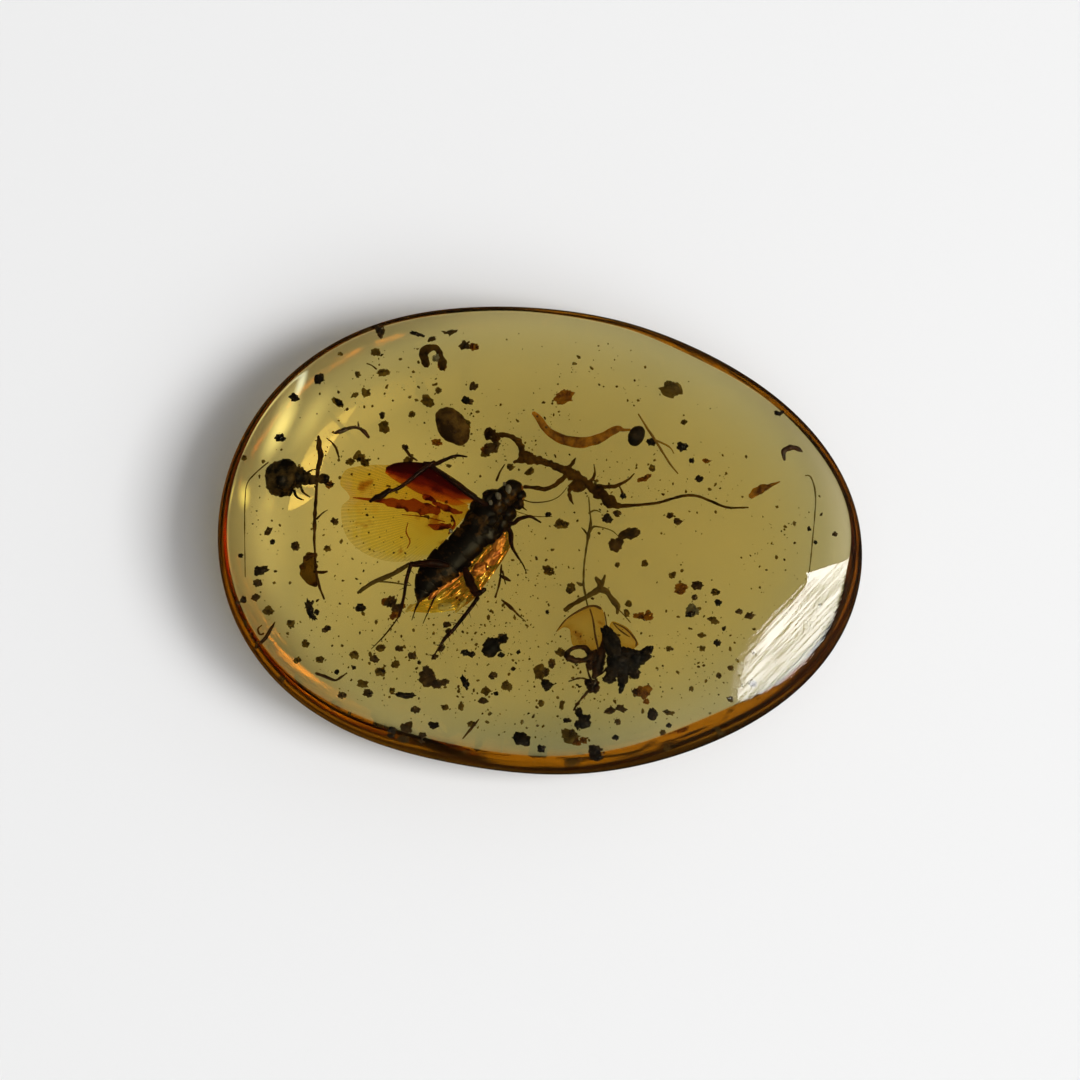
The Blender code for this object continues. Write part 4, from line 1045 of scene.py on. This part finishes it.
JOINTED_STALK = (
    level(3.6, (588, 498, 0.03), (589, 510, 0.04), (590, 522, 0.05), (588, 534, 0.09), (586, 546, 0.05),
        (584, 560, 0.045), (583, 572, 0.05), (583, 584, 0.06), (585, 596, 0.045), (587, 606, 0.03)),
    level(3.6, (589, 532, 0.07), (593, 527, 0.05), (602, 528, 0.03), (611, 531, 0.025), (617, 536, 0.02)),
    level(3.6, (588, 537, 0.06), (584, 531, 0.04), (581, 528, 0.02)),
    level(3.6, (583, 584, 0.05), (579, 583, 0.1), (576, 581, 0.03)),
    level(3.6, (588, 514, 0.04), (594, 511, 0.04), (600, 513, 0.02)),
)
STRAW = (
    level(4.1, (637, 416, 0.03), (645, 429, 0.05), (653, 441, 0.055), (661, 454, 0.05), (668, 465, 0.045),
        (676, 475, 0.03)),
    level(4.1, (654, 442, 0.045), (663, 446, 0.05), (669, 450, 0.04), (672, 455, 0.03)),
)
RIGHT_HAIR = (
    level(3.4, (802, 476, 0.03), (807, 477, 0.04), (811, 487, 0.04), (812, 500, 0.035), (811, 515, 0.035),
        (809, 535, 0.03), (807, 555, 0.03), (804, 578, 0.02)),
)
FINE_HAIRS = (
    ((271, 462, 4.2, 0.03), (259, 472, 4.2, 0.035), (250, 483, 4.2, 0.03), (248, 500, 4.2, 0.03),
     (248, 530, 4.1, 0.025), (249, 575, 4.0, 0.02)),
    level(3.6, (329, 439, 0.03), (334, 443, 0.04), (339, 450, 0.06), (342, 461, 0.03)),
    level(3.6, (368, 365, 0.03), (373, 367, 0.04), (378, 371, 0.03)),
    level(3.4, (404, 447, 0.04), (408, 452, 0.07), (413, 458, 0.06), (419, 462, 0.03)),
    level(3.9, (319, 669, 0.06), (328, 672, 0.08), (338, 676, 0.07), (344, 673, 0.06), (350, 669, 0.04)),
    level(4.1, (464, 733, 0.03), (469, 727, 0.06), (475, 720, 0.05), (480, 714, 0.03)),
    level(3.7, (496, 596, 0.06), (499, 586, 0.05), (501, 576, 0.06), (502, 564, 0.04)),
    level(3.9, (500, 574, 0.05), (505, 577, 0.09), (511, 580, 0.04)),
    level(3.9, (506, 583, 0.03), (504, 575, 0.05), (503, 570, 0.03)),
    level(3.2, (502, 598, 0.03), (512, 606, 0.09), (519, 613, 0.04), (526, 619, 0.02)),
    level(4.2, (404, 690, 0.03), (393, 689, 0.03)),
    ((497, 505, 3.0, 0.03), (530, 516, 3.1, 0.02), (552, 517, 3.1, 0.02)),
    level(3.2, (505, 466, 0.03), (500, 474, 0.05), (497, 482, 0.06)),
)
stalk_brown = mottled(
    "stalk_brown", (0.03, 0.011, 0.003), (0.15, 0.07, 0.018), 1100, 0.7, 0.5, 0.5, 0.18, 0.2)
scale_olive = wing_material(
    "stalk_scale", ((0.0, (0.5, 0.38, 0.12)), (1.0, (0.7, 0.56, 0.2))), EVEN,
    ((0.45, 0.32, 0.12), 1300, 0.5), 0.6, 0.3, (0.14, 0.08, 0.02))
add_piece(
    "stalk_scale", *strand(STALK_SCALE, 7, 10, 0.35, 0.6, 3, 0.3), scale_olive, "bark_olive", ("left_stalk",))
straw_gold = mottled("straw_gold", (0.12, 0.06, 0.01), (0.42, 0.24, 0.05), 1400, 0.6, 0.3)
for name, rows_list, look, slot, node in (
    ("left_stem", LEFT_STALK, stalk_brown, "bark_olive", "left_stalk"),
    ("jointed_stalk", JOINTED_STALK, deep_olive, "bark_olive", "long_stalk"),
    ("split_straw", STRAW, straw_gold, "straw_gold", "straw"),
    ("right_hair", RIGHT_HAIR, deep_olive, "bark_olive", "hair_strand"),
):
    stem_shapes = strands(rows_list, 7, 8, 0.8, 0.5, 0, 0.3)
    add_piece(name, *gather(stem_shapes), look, slot, (node,))
hair_shapes = strands(FINE_HAIRS, 6, 6, 1, 0.5, 0, 0.3)
add_piece("fine_hairs", *gather(hair_shapes), stalk_brown, "bark_olive")

# Seeds, husks and flakes.
# The larger plant bits: a long orange-brown seed pod with a black seed at its tip, an oval grain of bark, a
# curled flake, a folded husk and slivers of leaf and wood.
SEED_POD = level(3.9, (533, 415, 0.1), (538, 420, 0.16), (544, 429, 0.19), (552, 436, 0.22), (562, 441, 0.26),
    (574, 444, 0.27), (586, 444, 0.26), (597, 441, 0.23), (607, 436, 0.2), (617, 431, 0.16), (622, 432, 0.08),
    (629, 432, 0.06))
CURLED_FLAKE = level(3.8, (428, 368, 0.17), (425, 362, 0.2), (424, 356, 0.22), (428, 351, 0.22),
    (435, 350, 0.2), (440, 354, 0.18), (442, 361, 0.14), (443, 367, 0.22), (442, 372, 0.1))
HUSK = (
    level(4.0, (782, 461, 0.05), (781, 455, 0.12), (783, 450, 0.14), (789, 448, 0.13), (795, 449, 0.12),
        (800, 452, 0.04)),
)
LEAF_SLIVER = level(3.9, (747, 497, 0.12), (753, 493, 0.2), (760, 489, 0.2), (768, 486, 0.1),
    (777, 482, 0.03))
COMMA = (
    level(3.9, (337, 434, 0.08), (344, 432, 0.12), (352, 429, 0.1), (360, 429, 0.09), (366, 433, 0.1),
        (371, 439, 0.06)),
    level(3.9, (361, 430, 0.06), (360, 423, 0.03)),
)
EDGE_SPLINTER = (
    level(3.7, (279, 619, 0.03), (275, 626, 0.08), (269, 635, 0.09), (263, 641, 0.1)),
    level(3.7, (266, 622, 0.03), (262, 626, 0.06), (264, 631, 0.06), (268, 630, 0.04)),
)
pod_orange = mottled("pod_orange", (0.14, 0.05, 0.004), (0.95, 0.44, 0.04), 700, 0.55, 0.6, 0.48, 0.12, 0.2)
bark_brown = mottled("bark_brown", (0.04, 0.02, 0.004), (0.27, 0.16, 0.04), 1100, 0.75, 0.9, 0.56, 0.13, 0.2)
add_piece(
    "long_seed_pod", *strand(SEED_POD, 8, 16, 0.6, 0.25, 3, 0.5), pod_orange, "husk_brown", ("seed_pod",))
seed_shape = lump(spot(635, 438, 3.9), (0.54, 0.4, 0.3), 62, 0.1, 1, 5)
add_piece("black_seed", *seed_shape, litter_black, "litter_black", ("seed",))
# The bark's knobs go round in a spiral from the middle of its top, 2.4 radians further each time.
BARK_X, BARK_Y = 453, 428
BARK_HEIGHT = 4.0
BARK_THICK = 0.4
KNOBS = 60
KNOB_SIZE = (0.11, 0.09, 0.06)
grain_shapes = [lump(spot(BARK_X, BARK_Y, BARK_HEIGHT), (1.05, 0.72, BARK_THICK), -55, 0.12, 2, 5)]
for number in range(KNOBS):
    turn, reach = number * 2.4, 0.85 * math.sqrt((number + 0.5) / KNOBS)
    across, along_grain = math.cos(turn) * reach * 0.62, math.sin(turn) * reach * 0.95
    px = BARK_X + (along_grain * 0.57 + across * 0.82) / PIXEL_WIDE
    py = BARK_Y + (along_grain * 0.82 - across * 0.57) / PIXEL_WIDE
    top = BARK_HEIGHT + BARK_THICK * math.sqrt(max(0.0, 1 - reach**2))
    grain_shapes.append(lump(spot(px, py, top - 0.03), KNOB_SIZE, turn * 40, 0.5, number, 2))
add_piece("bark_oval", *gather(grain_shapes), bark_brown, "husk_brown", ("bark_grain",))
flake_shape = strand(CURLED_FLAKE, 7, 12, 0.7, 0.6, 5, 0.3)
add_piece("curled_bark", *flake_shape, bark_olive, "husk_brown", ("curled_flake",))
husk_red = mottled("husk_red", (0.012, 0.003, 0.001), (0.1, 0.03, 0.008), 1400, 0.45, 0.4)
for name, rows_list, look, slot, node in (
    ("folded_husk", HUSK, husk_red, "litter_black", "husk"),
    ("comma_bit", COMMA, husk_red, "litter_black", "comma_splinter"),
    ("rim_splinter", EDGE_SPLINTER, stalk_brown, "litter_black", "edge_splinter"),
    ("leaf_bit", (LEAF_SLIVER,), pod_orange, "straw_gold", "leaf_sliver"),
):
    bit_shapes = strands(rows_list, 7, 10, 0.6, 0.4, 0, 0.25)
    add_piece(name, *gather(bit_shapes), look, slot, (node,))

# Crumbs of forest litter.
# Loose bits of rotten wood, bark and droppings, each a few grains stuck together. Black ones lie near the
# face. Olive and orange ones lie deeper, and are thin enough for light to come through.
CLUMP_HEIGHT = 4.6
CLUMP = (
    (621, 660, 14, 13, 0), (610, 639, 16, 7, 108), (613, 648, 12, 8, 100), (636, 655, 13, 7, 25),
    (644, 649, 8, 4, 35), (612, 668, 9, 7, 45), (608, 675, 6, 4, 0), (621, 675, 9, 5, 80),
    (620, 684, 5, 2.5, 70), (632, 669, 7, 5, -40), (628, 662, 9, 8, 20), (616, 655, 9, 9, 0),
    (606, 632, 6, 4, 90), (626, 650, 7, 5, 0),
)
# Each crumb: pixel, length and width in pixels, turn in degrees.
BLACK_CRUMBS = (
    (493, 644, 19, 16, 30), (497, 640, 8, 8, 0), (504, 636, 9, 9, 0), (502, 652, 6, 5, 0),
    (406, 691, 17, 6, -8), (466, 678, 14, 6, -62), (313, 607, 20, 8, -78), (522, 733, 17, 12, -25),
    (582, 717, 14, 12, 75), (578, 707, 8, 8, 0), (586, 713, 8, 6, 50), (594, 744, 13, 11, -20),
    (598, 748, 7, 6, 0), (651, 709, 11, 10, 0), (265, 569, 15, 9, 20), (688, 612, 10, 5, 20),
    (547, 681, 11, 10, 0), (436, 720, 9, 7, 0), (321, 379, 9, 10, 60), (296, 398, 8, 11, 70),
    (282, 438, 10, 8, -10), (714, 640, 7, 7, 0), (721, 626, 4, 5, 0), (715, 601, 8, 6, -20),
    (606, 519, 10, 9, 0), (650, 444, 9, 8, 0), (680, 448, 9, 9, 0), (690, 462, 5, 5, 0), (276, 541, 6, 5, 0),
    (548, 515, 6, 5, 0), (614, 732, 6, 5, 0), (341, 403, 9, 5, -35), (697, 480, 8, 6, 0), (466, 649, 8, 6, 0),
    (473, 651, 6, 6, 0), (466, 402, 8, 7, 0), (364, 606, 9, 8, 0), (340, 668, 5, 5, 0), (316, 359, 7, 5, 45),
    (418, 335, 14, 4, -20), (320, 610, 6, 5, 0), (497, 689, 5, 4, 0), (541, 743, 8, 7, 0),
    (567, 715, 8, 5, 0), (806, 528, 4, 4, 0), (812, 541, 4, 4, 0), (622, 497, 6, 6, 0), (384, 417, 5, 7, 0),
    (667, 720, 5, 5, 0), (395, 725, 8, 6, 20), (514, 665, 5, 4, 0), (421, 659, 4, 4, 0), (519, 649, 4, 4, 0),
    (244, 554, 5, 4, 0), (357, 664, 4, 4, 0), (547, 610, 4, 4, 0), (386, 667, 4, 4, 0), (776, 413, 8, 5, -20),
    (361, 460, 4, 4, 0),
)
BROWN_CRUMBS = (
    (431, 673, 18, 15, 20), (438, 680, 10, 8, 0), (445, 678, 8, 7, 0), (628, 534, 18, 11, 10),
    (614, 545, 12, 14, 0), (694, 584, 8, 12, 80), (692, 596, 6, 6, 0), (261, 581, 9, 7, 0),
    (338, 521, 7, 6, 0), (299, 545, 9, 8, 0), (474, 389, 9, 7, 30), (465, 348, 11, 8, 20),
    (451, 334, 14, 4, 10), (381, 333, 9, 7, 60), (381, 337, 6, 4, -60), (545, 668, 5, 5, 0),
    (676, 522, 8, 6, 0), (668, 516, 7, 6, 0), (616, 514, 7, 6, 0), (492, 449, 12, 10, 40),
    (497, 446, 7, 6, 0), (417, 704, 9, 7, 0), (409, 721, 12, 11, 0), (424, 730, 8, 6, 0), (377, 655, 9, 7, 0),
    (330, 626, 9, 6, 30), (402, 645, 7, 6, 0), (415, 652, 8, 7, 0), (552, 660, 8, 8, 0), (634, 687, 8, 9, 0),
    (736, 609, 7, 5, 0), (746, 613, 10, 5, 10), (748, 679, 8, 6, 0), (616, 716, 6, 6, 0), (260, 595, 8, 7, 0),
    (247, 597, 6, 6, 0), (371, 688, 9, 7, 0), (345, 690, 8, 6, 0), (484, 696, 8, 6, 0), (494, 671, 8, 7, 0),
    (432, 341, 10, 4, 30), (393, 600, 13, 9, 40), (398, 606, 9, 8, 0), (449, 622, 8, 6, 0),
    (451, 629, 7, 5, 0), (443, 645, 8, 5, 40), (436, 653, 7, 5, 40), (428, 665, 8, 5, 50),
    (832, 533, 5, 5, 0), (727, 694, 6, 5, 0), (609, 705, 12, 6, 10), (619, 703, 12, 6, -20),
    (272, 530, 9, 6, 40), (471, 404, 6, 5, 0), (407, 449, 6, 5, 0),
)
OLIVE_CRUMBS = (
    (570, 728, 14, 17, 60), (561, 525, 14, 8, 0), (548, 569, 8, 11, 80), (668, 392, 14, 20, 85),
    (429, 405, 9, 14, 60), (386, 429, 10, 12, 0), (385, 376, 12, 8, 0), (377, 355, 9, 7, 0),
    (368, 395, 9, 8, 0), (340, 404, 14, 6, -35), (361, 458, 10, 9, 0), (368, 463, 10, 8, 0),
    (353, 463, 8, 7, 0), (410, 462, 9, 7, 0), (486, 456, 9, 7, 0), (530, 473, 9, 6, 20), (511, 469, 7, 6, 0),
    (570, 587, 9, 10, 0), (541, 667, 12, 15, 0), (560, 648, 11, 8, 0), (712, 590, 8, 7, 0),
    (710, 617, 9, 7, -30), (670, 574, 7, 7, 0), (295, 621, 9, 8, 0), (273, 607, 10, 8, 0),
    (358, 651, 9, 8, 0), (366, 678, 10, 8, 0), (384, 667, 10, 8, 0), (399, 659, 9, 7, 0), (444, 741, 9, 6, 0),
    (508, 681, 10, 8, 0), (487, 684, 9, 7, 0), (541, 697, 6, 6, 0), (561, 698, 4, 9, 0), (682, 425, 6, 5, 0),
    (650, 470, 6, 6, 0), (643, 563, 6, 6, 0), (616, 564, 5, 5, 0), (627, 601, 6, 6, 0), (625, 610, 5, 8, 30),
    (715, 669, 6, 5, 0), (727, 663, 6, 5, 0), (699, 644, 6, 5, 0), (667, 644, 6, 5, 0), (699, 631, 7, 4, 10),
    (248, 458, 6, 5, 0), (331, 548, 7, 6, 0), (395, 684, 6, 5, 0), (463, 700, 5, 9, 0), (447, 700, 7, 6, 0),
    (384, 644, 9, 7, 0), (310, 640, 8, 6, 0), (302, 655, 7, 6, 0), (324, 655, 8, 6, 0), (473, 716, 8, 6, 0),
    (660, 724, 6, 4, 0), (710, 708, 9, 5, -20), (666, 706, 10, 5, -10), (688, 682, 5, 5, 0),
    (414, 417, 6, 6, 0), (439, 393, 6, 6, 0), (357, 397, 7, 5, 30), (342, 356, 5, 4, 0), (360, 377, 5, 6, 0),
    (463, 424, 10, 20, 60),
)
ORANGE_CRUMBS = (
    (564, 400, 19, 12, 15), (646, 613, 9, 9, 0), (638, 613, 10, 6, 0), (678, 587, 9, 13, -60),
    (641, 687, 13, 12, 0), (438, 444, 10, 7, 0), (443, 369, 9, 11, 60), (474, 350, 9, 7, 0),
    (332, 485, 8, 7, 20), (644, 695, 6, 5, 0), (576, 735, 7, 6, 0), (583, 733, 8, 7, 0),
    (398, 612, 12, 8, 30), (388, 599, 9, 6, 40), (640, 481, 9, 5, 20), (646, 478, 8, 4, 20),
    (704, 463, 8, 4, 0), (405, 604, 6, 5, 0), (486, 452, 8, 7, 0),
)
GREY_FLAKES = ((690, 608, 13, 11, 30), (495, 449, 6, 6, 0), (437, 360, 6, 8, 0))
PIXEL_HALF = PIXEL_WIDE / 2


def crumb(px, py, height, long, wide, turn, seed, draw, cuts=3):
    """A few irregular grains stuck together, long and wide in pixels."""
    count = 1 if max(long, wide) < 6 else draw.choice((2, 3, 3, 4))
    size = (long * PIXEL_HALF, wide * PIXEL_HALF)
    shapes = []
    for grain in range(count):
        reach = 0.0 if grain == 0 else draw.uniform(0.35, 0.8)
        angle = draw.uniform(0, math.tau)
        aside = Vector((math.cos(angle) * size[0], math.sin(angle) * size[1], draw.uniform(-0.03, 0.03)))
        aside = aside * reach
        aside.rotate(Matrix.Rotation(math.radians(turn), 3, "Z"))
        share = 0.9 if grain == 0 else draw.uniform(0.35, 0.6)
        half = (size[0] * share, size[1] * share, min(size) * share * draw.uniform(0.55, 0.8))
        lean = turn + (0 if grain == 0 else draw.uniform(-60, 60))
        shapes.append(lump(spot(px, py, height) + aside, half, lean, 0.8, seed * 5 + grain, cuts, 1.6))
    return shapes


def clear_mottled(name, dark, light, scale, solid, tint):
    """A mottled finish that lets light through: the share solid of it stays, and the rest is tinted clear."""
    made = mottled(name, dark, light, scale, 0.7, 0.4)
    let_through(made, (*tint, 1), solid)
    return made


litter_brown = clear_mottled(
    "litter_brown", (0.02, 0.01, 0.002), (0.15, 0.09, 0.024), 1500, 0.82, (0.7, 0.5, 0.2))
olive_clear = clear_mottled(
    "olive_clear", (0.1, 0.075, 0.02), (0.3, 0.22, 0.07), 1200, 0.6, (0.75, 0.65, 0.35))
orange_clear = clear_mottled(
    "orange_clear", (0.12, 0.045, 0.004), (0.5, 0.24, 0.03), 1000, 0.5, (0.9, 0.62, 0.12))
grey_clear = clear_mottled("grey_clear", (0.16, 0.15, 0.1), (0.4, 0.38, 0.28), 1600, 0.7, (0.8, 0.8, 0.7))
# The brown crumbs of the 14 that the CAD has. The others are black.
BROWN_NODES = ("crumb_2", "crumb_11", "crumb_12")
BLACK_NODES = [name for name in (f"crumb_{k}" for k in range(1, 15)) if name not in BROWN_NODES]
draw = random.Random(7)
clump_shapes = []
for number, (px, py, long, wide, turn) in enumerate(CLUMP):
    half = (long * PIXEL_WIDE, wide * PIXEL_WIDE, 0.24)
    centre = spot(px, py, CLUMP_HEIGHT + draw.uniform(-0.06, 0.06))
    clump_shapes.append(lump(centre, half, turn, 0.5, number + 90, 4, 1.7))
add_piece("black_clump", *gather(clump_shapes), litter_black, "litter_black", ("litter_clump",))
for name, table, low, high, look, nodes_replaced in (
    ("black_crumbs", BLACK_CRUMBS, 3.9, 4.5, litter_black, BLACK_NODES),
    ("brown_crumbs", BROWN_CRUMBS, 3.4, 4.3, litter_brown, BROWN_NODES),
    ("olive_crumbs", OLIVE_CRUMBS, 2.0, 3.2, olive_clear, ()),
    ("orange_crumbs", ORANGE_CRUMBS, 2.6, 3.8, orange_clear, ()),
    ("grey_flakes", GREY_FLAKES, 3.8, 4.0, grey_clear, ()),
):
    crumb_shapes = []
    for number, (px, py, long, wide, turn) in enumerate(table):
        crumb_shapes += crumb(px, py, draw.uniform(low, high), long, wide, turn, number, draw)
    add_piece(name, *gather(crumb_shapes), look, "litter_black", nodes_replaced)

# Dust.
# Specks of the same litter all through the resin, down to the size of a grain of flour.
DUST_SEED = 5
DUST_LOW, DUST_HIGH = 1.4, 5.0
DUST_INSET = 1.6
DUST = (("dark_dust", 260, 0.02, 0.06, litter_black), ("brown_dust", 520, 0.02, 0.075, litter_brown),
        ("olive_dust", 900, 0.02, 0.09, olive_clear))
draw = random.Random(DUST_SEED)
for name, count, least, most, look in DUST:
    speck_shapes = []
    while len(speck_shapes) < count:
        angle, share = draw.uniform(0, math.tau), math.sqrt(draw.uniform(0, 1))
        height = draw.uniform(DUST_LOW, DUST_HIGH)
        reach = (around(GIRDLE_RADII, angle) - DUST_INSET - max(0.0, GIRDLE_HEIGHT - height) * 1.2) * share
        place = Vector((reach * math.cos(angle), reach * math.sin(angle), height))
        thick = noise.noise(Vector((place.x / 3.5, place.y / 3.5, 2.0))) - 0.03 * place.y - 0.02 * place.x
        if draw.uniform(-0.5, 0.6) > thick:
            continue
        size = least + (most - least) * draw.uniform(0, 1) ** 3
        half = (size * draw.uniform(0.8, 1.8), size, size * draw.uniform(0.6, 1))
        speck_shapes.append(lump(place, half, draw.uniform(0, 180), 0.6, len(speck_shapes), 1, 1.4))
    add_piece(name, *gather(speck_shapes), look, "litter_black")
